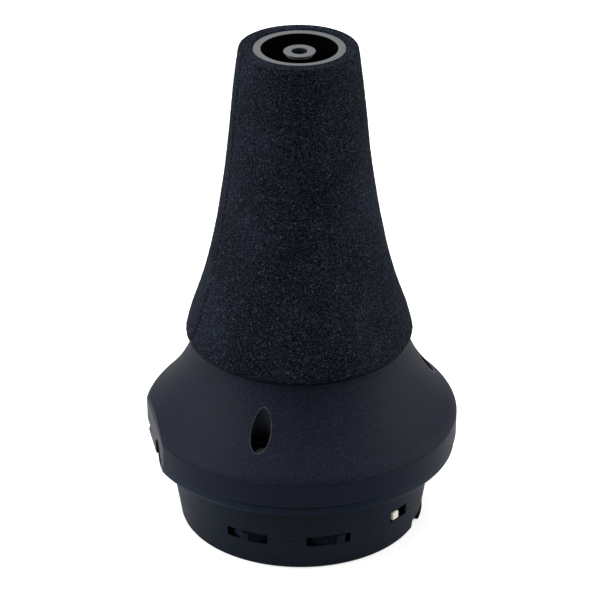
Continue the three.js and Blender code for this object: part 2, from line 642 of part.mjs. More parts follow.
function controlHousing() {
  const base = turned([
    [TUBE_HOLE_RADIUS, PLATE_UNDERSIDE],
    [SKIRT_TOP_RADIUS - SKIRT_WALL, PLATE_UNDERSIDE],
    [SKIRT_FOOT_RADIUS - SKIRT_WALL, SKIRT_FOOT],
    [SKIRT_FOOT_RADIUS - SKIRT_BEVEL, SKIRT_FOOT],
    [SKIRT_FOOT_RADIUS, SKIRT_FOOT + SKIRT_BEVEL],
    [SKIRT_TOP_RADIUS, PLATE_UNDERSIDE],
    [PLATE_RADIUS - PLATE_ROUND, PLATE_UNDERSIDE],
    [PLATE_RADIUS, PLATE_UNDERSIDE + PLATE_ROUND],
    [PLATE_RADIUS, PLATE_TOP - PLATE_ROUND],
    [PLATE_RADIUS - PLATE_ROUND, PLATE_TOP],
    [TUBE_HOLE_RADIUS, PLATE_TOP],
  ]);
  const postTop = WELL_FLOOR_HEIGHT - WELL_FLOOR - SEAT_GAP;
  const upperPosts = WELL_AZIMUTHS.map((azimuth) => outAt(
    disc(POST_RADIUS, PLATE_MIDDLE, postTop), azimuth, WELL_CENTRE_RADIUS));
  const lowerPosts = CAP_SCREW_AZIMUTHS.map((azimuth) => outAt(
    disc(CAP_BOSS_RADIUS, PLATE_UNDERSIDE - CAP_POST_LENGTH, PLATE_MIDDLE), azimuth, CAP_SCREW_RADIUS));
  const shankHoles = WELL_AZIMUTHS.map((azimuth) => outAt(
    disc(SHANK_HOLE_RADIUS, PLATE_TOP, postTop + OVERRUN, SMALL_FACETS), azimuth, WELL_CENTRE_RADIUS));
  const capHoles = CAP_SCREW_AZIMUTHS.map((azimuth) => outAt(
    disc(SHANK_HOLE_RADIUS, SKIRT_FOOT, PLATE_UNDERSIDE), azimuth, CAP_SCREW_RADIUS));
  const grommetHole = disc(
    MIC_RADIUS + GROMMET_WALL + 2 * SEAT_GAP, PLATE_UNDERSIDE - OVERRUN, PLATE_TOP + OVERRUN, INNER_FACETS)
    .translate(MIC_PLACE[0], MIC_PLACE[1], 0);
  const leadHole = toLand(disc(LEAD_RADIUS + 2 * SEAT_GAP, PLATE_UNDERSIDE - OVERRUN, PLATE_TOP + OVERRUN),
    LEAD_HOLE_DISTANCE, SOCKET_OFFSET, 0);
  return cutBy(joined(base, ...upperPosts, ...lowerPosts), [
    ...shankHoles, ...capHoles, grommetHole, leadHole, ...controlCuts(), socketOpening(),
    beyondLand(LAND_DISTANCE - PLATE_LAND_SETBACK, 0, OVERALL_HEIGHT),
  ]);
}

/** A turned rubber ring in a hole of the plate, with a flange above and below it. */
function plateRing(bore, neck, flange, high, facets) {
  const top = PLATE_TOP + SEAT_GAP;
  const under = PLATE_UNDERSIDE - SEAT_GAP;
  return turned([
    [bore, under - SEAL_FLANGE_THICKNESS], [flange, under - SEAL_FLANGE_THICKNESS], [flange, under],
    [neck, under], [neck, top], [flange, top], [flange, high], [bore, high],
  ], facets);
}

const tubeSeal = () => plateRing(TUBE_RADIUS + SEAT_GAP, TUBE_HOLE_RADIUS - SEAL_BORE_GAP,
  TUBE_HOLE_RADIUS + SEAL_FLANGE_WIDTH, PLATE_TOP + SEAT_GAP + SEAL_FLANGE_THICKNESS, SMALL_FACETS);

const micGrommet = () => plateRing(MIC_RADIUS + SEAT_GAP, MIC_RADIUS + GROMMET_WALL + SEAT_GAP,
  MIC_RADIUS + GROMMET_WALL + GROMMET_FLANGE + SEAT_GAP, GROMMET_TOP, INNER_FACETS)
  .translate(MIC_PLACE[0], MIC_PLACE[1], 0);

const pickupMic = () => disc(MIC_RADIUS, MIC_UNDERSIDE, MIC_UNDERSIDE + MIC_HEIGHT, INNER_FACETS)
  .translate(MIC_PLACE[0], MIC_PLACE[1], 0);

// Bottom cap

/** The two cell cavities, open below. */
function cellCavities() {
  return [-1, 1].map((side) => block([-CAVITY_HALF_LENGTH, CAVITY_HALF_LENGTH],
    [side * CELL_OFFSET - CAVITY_HALF_WIDTH, side * CELL_OFFSET + CAVITY_HALF_WIDTH],
    [FLOOR_UNDERSIDE - OVERRUN, BAY_CEILING]));
}

function bottomCap() {
  const foot = CAP_FOOT_RADIUS - CAP_FOOT_ROUND;
  const base = turned([
    [0, FLOOR_UNDERSIDE],
    [RIM_INNER_RADIUS, FLOOR_UNDERSIDE],
    [RIM_INNER_RADIUS, 0],
    [foot, 0],
    ...bend([foot, 0], [CAP_FOOT_RADIUS, 0], [CAP_FOOT_RADIUS, CAP_FOOT_ROUND], ROUND_STEPS),
    [CAP_TOP_RADIUS, CAP_HEIGHT - SKIRT_BEVEL],
    [CAP_TOP_RADIUS - SKIRT_BEVEL, CAP_HEIGHT],
    [CAP_TOP_RADIUS - CAP_WALL, CAP_HEIGHT],
    [CAP_FOOT_RADIUS - CAP_WALL + SKIRT_BEVEL, FLOOR_TOP],
    [0, FLOOR_TOP],
  ]);
  const bay = block([-BAY_HALF_LENGTH, BAY_HALF_LENGTH], [-BAY_HALF_WIDTH, BAY_HALF_WIDTH],
    [FLOOR_UNDERSIDE + FLOOR_THICKNESS / 2, BAY_TOP]);
  const bosses = CAP_SCREW_AZIMUTHS.flatMap((azimuth) => [
    outAt(disc(CAP_SEAT_RADIUS, FLOOR_UNDERSIDE + FLOOR_THICKNESS / 2, FLOOR_UNDERSIDE + CAP_SEAT_HEIGHT),
      azimuth, CAP_SCREW_RADIUS),
    outAt(disc(CAP_BOSS_RADIUS, FLOOR_TOP, BAY_TOP), azimuth, CAP_SCREW_RADIUS),
  ]);
  const screwHoles = CAP_SCREW_AZIMUTHS.flatMap((azimuth) => [
    outAt(disc(CAP_HEAD_RADIUS + SEAT_GAP, FLOOR_UNDERSIDE - OVERRUN, CAP_HEAD_CEILING),
      azimuth, CAP_SCREW_RADIUS),
    outAt(disc(SHANK_HOLE_RADIUS, 0, BAY_TOP + OVERRUN), azimuth, CAP_SCREW_RADIUS),
  ]);
  const tubeHole = disc(TUBE_RADIUS + SEAT_GAP, 0, BAY_TOP + OVERRUN);
  const notches = TAB_AZIMUTHS.map((azimuth) => sector(RIM_INNER_RADIUS - OVERRUN, CAP_TOP_RADIUS + OVERRUN,
    azimuth - NOTCH_START_ANGLE, azimuth + NOTCH_END_ANGLE, -OVERRUN, FLOOR_UNDERSIDE));
  const slots = LUG_AZIMUTHS.map((azimuth) => sector(LUG_INNER_RADIUS - SEAT_GAP,
    LUG_INNER_RADIUS + LUG_WIDTH + SEAT_GAP, azimuth - SLOT_BACK_ANGLE, azimuth + SLOT_FRONT_ANGLE,
    FLOOR_UNDERSIDE - OVERRUN, FLOOR_TOP + OVERRUN));
  return cutBy(joined(base, bay, ...bosses), [
    ...cellCavities(), ...screwHoles, tubeHole, ...notches, ...slots, ...controlCuts(),
  ]);
}

function batteryCover() {
  const plate = hoop(TUBE_RADIUS + COVER_HOLE_GAP, COVER_RADIUS, COVER_UNDERSIDE, COVER_TOP, HULL_FACETS);
  const tabs = TAB_AZIMUTHS.map((azimuth) => sector(COVER_RADIUS - TAB_ROOT, TAB_RADIUS,
    azimuth - TAB_HALF_ANGLE, azimuth + TAB_HALF_ANGLE, COVER_UNDERSIDE, COVER_TOP));
  const toeFoot = FLOOR_TOP + SEAT_GAP;
  const lugs = LUG_AZIMUTHS.flatMap((azimuth) => [
    sector(LUG_INNER_RADIUS, LUG_INNER_RADIUS + LUG_WIDTH, azimuth - LUG_STEM_HALF_ANGLE,
      azimuth + LUG_STEM_HALF_ANGLE, COVER_UNDERSIDE + COVER_THICKNESS / 2, toeFoot + LUG_TOE_THICKNESS),
    sector(LUG_INNER_RADIUS, LUG_INNER_RADIUS + LUG_WIDTH, azimuth - LUG_STEM_HALF_ANGLE - LUG_TOE_ANGLE,
      azimuth, toeFoot, toeFoot + LUG_TOE_THICKNESS),
  ]);
  return joined(plate, ...tabs, ...lugs);
}

// Cells and contacts

/** One cell along X, its button at +X. */
function cell() {
  const half = CELL_LENGTH / 2;
  const shoulder = half - CELL_BUTTON_LENGTH;
  return turned([
    [0, -half], [CELL_RADIUS - CELL_BEVEL, -half], [CELL_RADIUS, -half + CELL_BEVEL],
    [CELL_RADIUS, shoulder - CELL_BEVEL], [CELL_RADIUS - CELL_BEVEL, shoulder],
    [CELL_BUTTON_RADIUS, shoulder], [CELL_BUTTON_RADIUS, half], [0, half],
  ], INNER_FACETS).rotateY(Math.PI / 2);
}

const buttonContact = () => box(CONTACT_THICKNESS, CONTACT_WIDTH, CONTACT_HEIGHT);

/** The contact at a cell's flat end, with a raised tongue that points to -X. */
const springContact = () => joined(
  box(CONTACT_THICKNESS - CONTACT_LEAF, CONTACT_WIDTH, CONTACT_HEIGHT).translate(CONTACT_LEAF / 2, 0, 0),
  box(CONTACT_THICKNESS, CONTACT_WIDTH / 2, CONTACT_HEIGHT / 2));

// Board and electronics

function circuitBoard() {
  const plate = disc(BOARD_RADIUS, BOARD_UNDERSIDE, BOARD_TOP, HULL_FACETS);
  const holes = CAP_SCREW_AZIMUTHS.map((azimuth) => outAt(
    disc(SHANK_HOLE_RADIUS, BOARD_UNDERSIDE - OVERRUN, BOARD_TOP + OVERRUN), azimuth, CAP_SCREW_RADIUS));
  const tubeHole = disc(TUBE_RADIUS + SEAT_GAP, BOARD_UNDERSIDE - OVERRUN, BOARD_TOP + OVERRUN);
  return cutBy(plate, [...holes, tubeHole]);
}

const signalChip = () => box(CHIP_SIZE, CHIP_SIZE, CHIP_THICKNESS)
  .translate(CHIP_PLACE[0], CHIP_PLACE[1], BOARD_TOP + SEAT_GAP + CHIP_THICKNESS / 2);

const capacitor = () => disc(CAPACITOR_RADIUS, 0, CAPACITOR_HEIGHT, INNER_FACETS);

/** The fixed body of a thumbwheel control, about its own axis, hung under the board. */
function potBody() {
  const low = WHEEL_UNDERSIDE + WHEEL_THICKNESS + SEAT_GAP;
  const high = BOARD_UNDERSIDE - SEAT_GAP;
  const body = block([-POT_SIZE / 2, POT_SIZE / 2], [-POT_SIZE / 2, POT_SIZE / 2], [low, high]);
  return cutBy(body, [disc(WHEEL_SHAFT_RADIUS + RUNNING_GAP, low - OVERRUN, high + OVERRUN)]);
}

/** A ribbed thumbwheel about its own axis, its mark at +X and its plain stretch on one side of it. */
function thumbwheel(plainSide) {
  const outline = [];
  const step = (2 * Math.PI) / WHEEL_RIBS;
  const mark = radians(PATCH_HALF_ANGLE);
  const plain = radians(PATCH_HALF_ANGLE + PLAIN_ANGLE);
  const put = (radius, angle) => outline.push(
    new THREE.Vector2(radius * Math.cos(angle * plainSide), radius * Math.sin(angle * plainSide)));
  put(WHEEL_RADIUS + PATCH_RISE, -mark);
  put(WHEEL_RADIUS + PATCH_RISE, 0);
  put(WHEEL_RADIUS + PATCH_RISE, mark);
  for (let angle = mark; angle < plain; angle += step) put(WHEEL_RADIUS - PLAIN_RECESS, angle);
  for (let angle = plain; angle < 2 * Math.PI - mark - step / 2; angle += step) {
    put(WHEEL_RADIUS - RIB_DEPTH, angle);
    put(WHEEL_RADIUS, angle + step / 2);
  }
  if (plainSide < 0) outline.reverse();
  const body = new THREE.ExtrudeGeometry(new THREE.Shape(outline), {
    depth: WHEEL_THICKNESS, bevelEnabled: false,
  }).translate(0, 0, WHEEL_UNDERSIDE);
  const top = WHEEL_UNDERSIDE + WHEEL_THICKNESS;
  return joined(body, disc(WHEEL_SHAFT_RADIUS, top - WHEEL_THICKNESS / 2, top + WHEEL_SHAFT_LENGTH));
}

function switchBody() {
  const low = SWITCH_BODY_UNDERSIDE;
  const high = BOARD_UNDERSIDE - SEAT_GAP;
  return facing(block([SWITCH_BODY_INNER_RADIUS, SWITCH_BODY_INNER_RADIUS + SWITCH_BODY_DEPTH],
    [-SWITCH_BODY_WIDTH / 2, SWITCH_BODY_WIDTH / 2], [low, high]), SWITCH_AZIMUTH);
}

/** The switch button with bevelled edges, along +X from the switch body's face. */
function switchNub() {
  const start = SWITCH_BODY_INNER_RADIUS + SWITCH_BODY_DEPTH + SEAT_GAP;
  const end = SKIRT_FOOT_RADIUS + NUB_PROTRUSION;
  const face = new THREE.Shape();
  const w = NUB_WIDTH / 2;
  const h = NUB_HEIGHT / 2;
  const e = NUB_EDGE;
  [[-w + e, -h], [w - e, -h], [w, -h + e], [w, h - e], [w - e, h], [-w + e, h], [-w, h - e], [-w, -h + e]]
    .forEach(([x, y], i) => (i ? face.lineTo(x, y) : face.moveTo(x, y)));
  const body = new THREE.ExtrudeGeometry(face, {
    depth: end - start - e, bevelEnabled: true, bevelThickness: e, bevelSize: 0, bevelSegments: 1,
  });
  return closed(body.rotateY(Math.PI / 2).rotateX(Math.PI / 2).translate(start + e, 0, 0));
}

function headphoneJack() {
  const body = block([-SOCKET_BODY_DEPTH, 0], [-SOCKET_BODY_WIDTH / 2, SOCKET_BODY_WIDTH / 2],
    [0, SOCKET_BODY_HEIGHT]);
  const bore = disc(SOCKET_BORE_RADIUS, -SOCKET_BORE_DEPTH, OVERRUN).rotateY(Math.PI / 2)
    .translate(0, 0, SOCKET_BODY_HEIGHT / 2);
  return toLand(cutBy(body, [bore]), SOCKET_FACE, SOCKET_OFFSET, PLATE_TOP + SEAT_GAP);
}

function jackLead() {
  const start = SOCKET_FACE - SOCKET_BODY_DEPTH - SEAT_GAP;
  const high = PLATE_TOP + SEAT_GAP + SOCKET_BODY_HEIGHT / 2;
  return lead([
    onLand(start, SOCKET_OFFSET, high),
    onLand(start - SOCKET_LEAD_DROP / 2, SOCKET_OFFSET, high),
    onLand(LEAD_HOLE_DISTANCE, SOCKET_OFFSET, PLATE_TOP),
    onLand(LEAD_HOLE_DISTANCE, SOCKET_OFFSET, (PLATE_UNDERSIDE + BOARD_TOP) / 2),
    onLand(LEAD_HOLE_DISTANCE, SOCKET_OFFSET, BOARD_TOP + SEAT_GAP),
  ], LEAD_RADIUS);
}

function micLead() {
  const [x, y] = MIC_PLACE;
  const top = MIC_UNDERSIDE - SEAT_GAP;
  const foot = BOARD_TOP + SEAT_GAP;
  const slack = LEAD_RADIUS * 2;
  return lead([
    new THREE.Vector3(x, y, top),
    new THREE.Vector3(x, y, (3 * top + foot) / 4),
    new THREE.Vector3(x + slack, y, (top + foot) / 2),
    new THREE.Vector3(x + slack, y, (top + 3 * foot) / 4),
    new THREE.Vector3(x + slack, y, foot),
  ], LEAD_RADIUS);
}

// Finishes

const finish = (color, roughness, metalness = 0) => new THREE.MeshStandardMaterial({
  color, roughness, metalness,
});
const foamBlack = finish(0x15181f, 0.95);
const shellBlue = finish(0x2a2f38, 0.6);
const baseBlue = finish(0x1c2029, 0.45);
const coverBlack = finish(0x0c0d10, 0.6);
const tipGrey = finish(0x7c8083, 0.5);
const innerBlack = finish(0x101114, 0.6);
const ivory = finish(0xe6e2d2, 0.4);
const steel = finish(0x8a8d90, 0.3, 1);
const rubberBlack = finish(0x121212, 0.8);
const boardGreen = finish(0x1f5a36, 0.5);
const cellGrey = finish(0x6d7278, 0.35, 0.6);
const goldPlate = finish(0xc7a04a, 0.3, 1);

// Assembly

function piece(name, geometry, material) {
  const mesh = new THREE.Mesh(geometry, material);
  mesh.name = name;
  return mesh;
}

/** Copies of one piece, numbered in their names, at a height and at azimuths round the axis. */
function ringOf(name, geometry, material, azimuths, radius, height) {
  return azimuths.map((azimuth, i) => {
    const mesh = piece(`${name}_${i + 1}`, geometry, material);
    mesh.position.copy(around(azimuth, radius, height));
    return mesh;
  });
}

function cone() {
  const group = new THREE.Group();
  group.add(
    piece('foam_sleeve', foamSleeve(), foamBlack),
    piece('cone_core', coneCore(), innerBlack),
    piece('tip_ring', tipRing(), tipGrey),
    piece('air_tube', airTube(), tipGrey),
    piece('tube_spider', tubeSpider(), innerBlack),
  );
  return group;
}

function bulb() {
  const group = new THREE.Group();
  group.add(
    piece('upper_shell', upperShell(), shellBlue),
    ...ringOf('shell_screw', shellScrew(), steel, WELL_AZIMUTHS, WELL_CENTRE_RADIUS,
      WELL_FLOOR_HEIGHT + SEAT_GAP),
    piece('headphone_jack', headphoneJack(), innerBlack),
    piece('jack_lead', jackLead(), rubberBlack),
    piece('mic_grommet', micGrommet(), rubberBlack),
    piece('pickup_mic', pickupMic(), steel),
    piece('mic_lead', micLead(), rubberBlack),
  );
  return group;
}

/** A thumbwheel and its fixed body, placed so that the wheel just passes the skirt's surface. */
function wheelControl(name, azimuth, markAngle, plainSide) {
  const group = new THREE.Group();
  group.position.copy(around(azimuth, WHEEL_CENTRE_RADIUS));
  group.rotation.z = polar(azimuth);
  const wheel = piece(`${name}_wheel`, thumbwheel(plainSide), innerBlack);
  wheel.rotation.z = radians(markAngle);
  group.add(wheel, piece(`${name}_pot`, potBody(), innerBlack));
  return group;
}

function slideSwitch() {
  const group = new THREE.Group();
  const nub = piece('switch_nub', switchNub(), ivory);
  nub.rotation.z = polar(SWITCH_AZIMUTH);
  nub.position.copy(around(SWITCH_AZIMUTH + QUARTER_TURN, -NUB_START));
  nub.position.z = SWITCH_WINDOW_UNDERSIDE + SWITCH_WINDOW_HEIGHT / 2;
  group.add(piece('switch_body', switchBody(), innerBlack), nub);
  return group;
}

/** A cell between its two contacts, its button at +X. */
function cellGroup(name) {
  const group = new THREE.Group();
  const end = CELL_LENGTH / 2 + SEAT_GAP + CONTACT_THICKNESS / 2;
  const button = piece(`${name}_button_contact`, buttonContact(), goldPlate);
  button.position.x = end;
  const spring = piece(`${name}_spring_contact`, springContact(), goldPlate);
  spring.position.x = -end;
  spring.rotation.z = Math.PI;
  group.add(piece(`${name}_cell`, cell(), cellGrey), button, spring);
  group.position.z = CELL_HEIGHT;
  return group;
}

function cells() {
  const group = new THREE.Group();
  const front = cellGroup('front');
  front.position.y = -CELL_OFFSET;
  front.rotation.z = Math.PI;
  const rear = cellGroup('rear');
  rear.position.y = CELL_OFFSET;
  group.add(front, rear);
  return group;
}

/** The capacitors, in a row on the board. */
const capacitorRow = () => Array.from({ length: CAPACITOR_COUNT }, (_, i) => {
  const mesh = piece(`capacitor_${i + 1}`, capacitor(), cellGrey);
  mesh.position.set(CAPACITOR_ROW_X, CAPACITOR_ROW_START_Y + CAPACITOR_PITCH * i, BOARD_TOP + SEAT_GAP);
  return mesh;
});

function controlBase() {
  const group = new THREE.Group();
  group.add(
    piece('control_housing', controlHousing(), baseBlue),
    piece('tube_seal', tubeSeal(), rubberBlack),
    piece('bottom_cap', bottomCap(), baseBlue),
    piece('battery_cover', batteryCover(), coverBlack),
    ...ringOf('cap_screw', capScrew(), steel, CAP_SCREW_AZIMUTHS, CAP_SCREW_RADIUS,
      CAP_HEAD_CEILING - SEAT_GAP),
    piece('circuit_board', circuitBoard(), boardGreen),
    piece('signal_chip', signalChip(), innerBlack),
    ...capacitorRow(),
    wheelControl('volume', VOLUME_AZIMUTH, VOLUME_MARK_ANGLE, -1),
    wheelControl('tone', TONE_AZIMUTH, TONE_MARK_ANGLE, 1),
    slideSwitch(),
    cells(),
  );
  return group;
}

const mute = new THREE.Group();
mute.add(cone(), bulb(), controlBase());

export default mute;
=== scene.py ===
"""A trumpet practice mute: a foam cone on a moulded bulb, over a round control base.

Lengths are metres, +Z is up and the origin is at the centre of the foot. The front, with the thumbwheels,
faces -Y. Azimuths are degrees from the front, positive towards +X.
"""

import logging
import math
from dataclasses import dataclass
from enum import Enum
from functools import cached_property, partial, reduce
from itertools import chain
from typing import Callable, Iterable, Sequence

import bmesh
import bpy
from mathutils import Matrix, Vector, noise

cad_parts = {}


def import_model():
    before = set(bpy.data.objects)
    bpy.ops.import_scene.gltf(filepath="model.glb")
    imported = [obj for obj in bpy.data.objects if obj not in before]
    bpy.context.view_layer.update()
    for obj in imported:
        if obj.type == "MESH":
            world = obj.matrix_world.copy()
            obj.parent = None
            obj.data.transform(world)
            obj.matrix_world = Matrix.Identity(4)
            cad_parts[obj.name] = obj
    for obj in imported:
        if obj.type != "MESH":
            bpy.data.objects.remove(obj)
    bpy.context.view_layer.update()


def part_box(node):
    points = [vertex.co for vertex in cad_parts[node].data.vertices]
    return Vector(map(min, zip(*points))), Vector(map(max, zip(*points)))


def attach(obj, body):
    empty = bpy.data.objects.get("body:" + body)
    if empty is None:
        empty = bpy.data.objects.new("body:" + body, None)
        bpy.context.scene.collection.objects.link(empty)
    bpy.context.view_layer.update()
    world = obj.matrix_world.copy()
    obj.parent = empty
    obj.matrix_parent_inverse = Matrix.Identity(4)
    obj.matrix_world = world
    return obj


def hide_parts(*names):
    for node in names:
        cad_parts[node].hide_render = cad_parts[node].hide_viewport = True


log = logging.getLogger("mute")

Point = tuple[float, float]
Colour = tuple[float, float, float]
Range = tuple[float, float]
Socket = bpy.types.NodeSocket
NodeValue = Socket | float | Sequence[float]

SEAT_GAP = 0.0003
OVERRUN = 0.002
MERGE_DISTANCE = 1e-7
FULL_TURN = 2 * math.pi
QUARTER_TURN_DEGREES = 90
SHARP_ANGLE = math.radians(32)
STRAIGHT_HALF_ANGLE = math.radians(89)
LYING = Matrix.Rotation(math.pi / 2, 4, "Y")
NOISE_SPREAD = (0.3, 0.7)
WELL_AZIMUTHS = (-17, 103, 223)
CAP_SCREW_AZIMUTHS = (75, -75, 180)
CAP_SCREW_RING = 0.032235
CAP_SCREW_HEAD_RADIUS = 0.0028
SHANK_HOLE = 0.0016
TAB_AZIMUTHS = (80, -100)
LUG_AZIMUTHS = (15, 135, 255)


class Body(Enum):
    """The frame's bodies, which the pieces ride on."""

    MUTE = "mute_body"
    VOLUME_WHEEL = "volume_wheel"
    TONE_WHEEL = "tone_wheel"
    SWITCH_NUB = "switch_nub"
    BATTERY_COVER = "battery_cover"


class Slot(Enum):
    """The record's material slots."""

    FOAM = "foam"
    SHELL = "shell_plastic"
    BASE = "base_plastic"
    COVER = "cover_plastic"
    WHEEL = "wheel_plastic"
    INNER = "inner_plastic"
    GREY = "grey_plastic"
    IVORY = "ivory_plastic"
    STEEL = "screw_steel"
    RUBBER = "rubber"
    BOARD = "board"
    CAN = "mic_can"
    CELL = "cell_jacket"
    CONTACT = "contact_plate"


def polar(azimuth: float) -> float:
    """Gives the angle about Z, from +X, of an azimuth.

    Args:
        azimuth: Degrees from the front, positive towards +X.

    Returns:
        The angle in radians.
    """
    return math.radians(azimuth - QUARTER_TURN_DEGREES)


def facing(azimuth: float, radius: float = 0, height: float = 0) -> Matrix:
    """Gives the placing of a shape whose +X points out at an azimuth.

    Args:
        azimuth: Degrees from the front, positive towards +X.
        radius: How far out the shape's own origin goes.
        height: How far up it goes.

    Returns:
        The matrix that turns the shape and moves it out.
    """
    return Matrix.Rotation(polar(azimuth), 4, "Z") @ Matrix.Translation((radius, 0, height))


def bend(start: Point, control: Point, end: Point, steps: int) -> list[Point]:
    """Gives points along a curve with one control point.

    Args:
        start: The first point.
        control: The point that the curve bends towards.
        end: The last point.
        steps: How many points follow the first.

    Returns:
        The points after the first, the last one included.
    """
    a, b, c = Vector(start), Vector(control), Vector(end)
    shares = (step / steps for step in range(1, steps + 1))
    return [tuple(a * (1 - t) ** 2 + b * 2 * t * (1 - t) + c * t * t) for t in shares]


def rounded(corners: Sequence[tuple[float, float, float]], steps: int = 4) -> list[Point]:
    """Rounds the corners of a closed outline with arcs.

    Args:
        corners: Radius, height and rounding of each corner. A rounding of 0 keeps the corner sharp.
        steps: Faces in each rounding.

    Returns:
        The outline's points.
    """
    outline: list[Point] = []
    for index, (radius, height, rounding) in enumerate(corners):
        corner = Vector((radius, height))
        before = Vector(corners[index - 1][:2]) - corner
        after = Vector(corners[(index + 1) % len(corners)][:2]) - corner
        half = before.angle(after) / 2
        if rounding == 0 or half > STRAIGHT_HALF_ANGLE:
            outline.append((radius, height))
            continue
        reach = min(rounding / math.tan(half), before.length / 2, after.length / 2)
        centre = corner + (before.normalized() + after.normalized()).normalized() * (reach / math.cos(half))
        start = corner + before.normalized() * reach - centre
        sweep = start.angle_signed(corner + after.normalized() * reach - centre)
        outline.extend(tuple(centre + start @ Matrix.Rotation(sweep * step / steps, 2))
                       for step in range(steps + 1))
    return outline


def resampled(outline: Sequence[Point], spacing: float) -> list[Point]:
    """Adds points to an outline so that none lie further apart than a spacing.

    Args:
        outline: The outline's points.
        spacing: The widest gap between two points.

    Returns:
        The outline with the added points.
    """
    points = [outline[0]]
    for start, end in zip(outline, outline[1:]):
        a, b = Vector(start), Vector(end)
        parts = max(1, math.ceil((b - a).length / spacing))
        points.extend(tuple(a.lerp(b, part / parts)) for part in range(1, parts + 1))
    return points


def scaled(colour: Colour, factor: float) -> Colour:
    """Makes a colour lighter or darker by a factor."""
    return tuple(min(1.0, part * factor) for part in colour)


class Form:
    """A closed shape in work, held as a bmesh."""

    def __init__(self, mesh: bmesh.types.BMesh) -> None:
        """Keeps the bmesh.

        Args:
            mesh: The shape.
        """
        self.mesh = mesh

    @classmethod
    def spun(cls, outline: Sequence[Point], steps: int = 128) -> "Form":
        """Turns an outline once about Z.

        Args:
            outline: Points of (radius, height). An outline off the axis is closed on itself.
            steps: Faces round the turn.

        Returns:
            The turned shape.
        """
        mesh = bmesh.new()
        corners = [mesh.verts.new((radius, 0, height)) for radius, height in outline]
        pairs = list(zip(corners, corners[1:]))
        if outline[0][0] > MERGE_DISTANCE:
            pairs.append((corners[-1], corners[0]))
        edges = [mesh.edges.new(pair) for pair in pairs]
        bmesh.ops.spin(mesh, geom=corners + edges, cent=(0, 0, 0), axis=(0, 0, 1), angle=FULL_TURN,
                       steps=steps, use_merge=True)
        return cls(mesh).cleaned()

    @classmethod
    def sector(cls, radii: Range, azimuths: Range, heights: Range, steps: int = 12) -> "Form":
        """Makes a piece of a ring between two azimuths.

        Args:
            radii: Inner and outer radius.
            azimuths: The two azimuths in degrees.
            heights: Lowest and highest point.
            steps: Faces along the ring.

        Returns:
            The piece of a ring.
        """
        mesh = bmesh.new()
        corners = [mesh.verts.new((radius, 0, height)) for radius, height in (
            (radii[0], heights[0]), (radii[1], heights[0]), (radii[1], heights[1]), (radii[0], heights[1]))]
        face = mesh.faces.new(corners)
        bmesh.ops.spin(mesh, geom=[face, *face.edges, *corners], cent=(0, 0, 0), axis=(0, 0, 1),
                       angle=math.radians(azimuths[1] - azimuths[0]), steps=steps, use_merge=False)
        return cls(mesh).cleaned().placed(facing(azimuths[0]))

    @classmethod
    def block(cls, x: Range, y: Range, z: Range) -> "Form":
        """Makes a block.

        Args:
            x: Lowest and highest X.
            y: Lowest and highest Y.
            z: Lowest and highest Z.

        Returns:
            The block.
        """
        low, high = Vector((x[0], y[0], z[0])), Vector((x[1], y[1], z[1]))
        mesh = bmesh.new()
        bmesh.ops.create_cube(mesh, size=1)
        bmesh.ops.scale(mesh, vec=high - low, verts=mesh.verts[:])
        bmesh.ops.translate(mesh, vec=(low + high) / 2, verts=mesh.verts[:])
        return cls(mesh)

    @classmethod
    def rod(cls, radius: float, low: float, high: float, steps: int = 48,
            top_radius: float | None = None) -> "Form":
        """Makes an upright rod or a cone.

        Args:
            radius: Radius at the foot.
            low: Height of the foot.
            high: Height of the top.
            steps: Faces round it.
            top_radius: Radius at the top, if it differs.

        Returns:
            The rod.
        """
        mesh = bmesh.new()
        bmesh.ops.create_cone(
            mesh, cap_ends=True, segments=steps, radius1=radius, depth=high - low,
            radius2=radius if top_radius is None else top_radius,
            matrix=Matrix.Translation((0, 0, (low + high) / 2)))
        return cls(mesh)

    @classmethod
    def rods(cls, radius: float, heights: Range, azimuths: Sequence[float], ring: float,
             steps: int = 48) -> list["Form"]:
        """Makes equal upright rods at several azimuths, at one distance from the axis."""
        return [cls.rod(radius, *heights, steps).placed(facing(azimuth, ring)) for azimuth in azimuths]

    def cleaned(self) -> "Form":
        """Merges doubled corners and turns the faces outwards, and returns the form."""
        bmesh.ops.remove_doubles(self.mesh, verts=self.mesh.verts[:], dist=MERGE_DISTANCE)
        bmesh.ops.recalc_face_normals(self.mesh, faces=self.mesh.faces[:])
        return self

    def placed(self, matrix: Matrix) -> "Form":
        """Moves and turns the form, and returns it."""
        bmesh.ops.transform(self.mesh, matrix=matrix, verts=self.mesh.verts[:])
        return self

    def softened(self, width: float, segments: int = 2,
                 where: Callable[[Vector], bool] | None = None) -> "Form":
        """Bevels the sharp edges.

        Args:
            width: Width of the bevel.
            segments: Faces across it.
            where: Says of a point whether an edge there is bevelled. None bevels all.

        Returns:
            The form.
        """
        edges = [edge for edge in self.mesh.edges
                 if edge.is_manifold and edge.calc_face_angle() > SHARP_ANGLE
                 and (where is None or all(where(corner.co) for corner in edge.verts))]
        bmesh.ops.bevel(self.mesh, geom=edges, offset=width, offset_type="OFFSET", segments=segments,
                        profile=0.5, affect="EDGES", material=-1, clamp_overlap=True)
        return self

    def shaped(self, move: Callable[[Vector], Vector]) -> "Form":
        """Moves every corner to the place that a function gives, and returns the form."""
        for corner in self.mesh.verts:
            corner.co = move(corner.co)
        return self

    def cut(self, *tools: "Form") -> "Form":
        """Takes other forms away from this one, and returns it."""
        return self._combined(tools, "DIFFERENCE")

    def fused(self, *others: "Form") -> "Form":
        """Joins other forms to this one, and returns it."""
        return self._combined(others, "UNION")

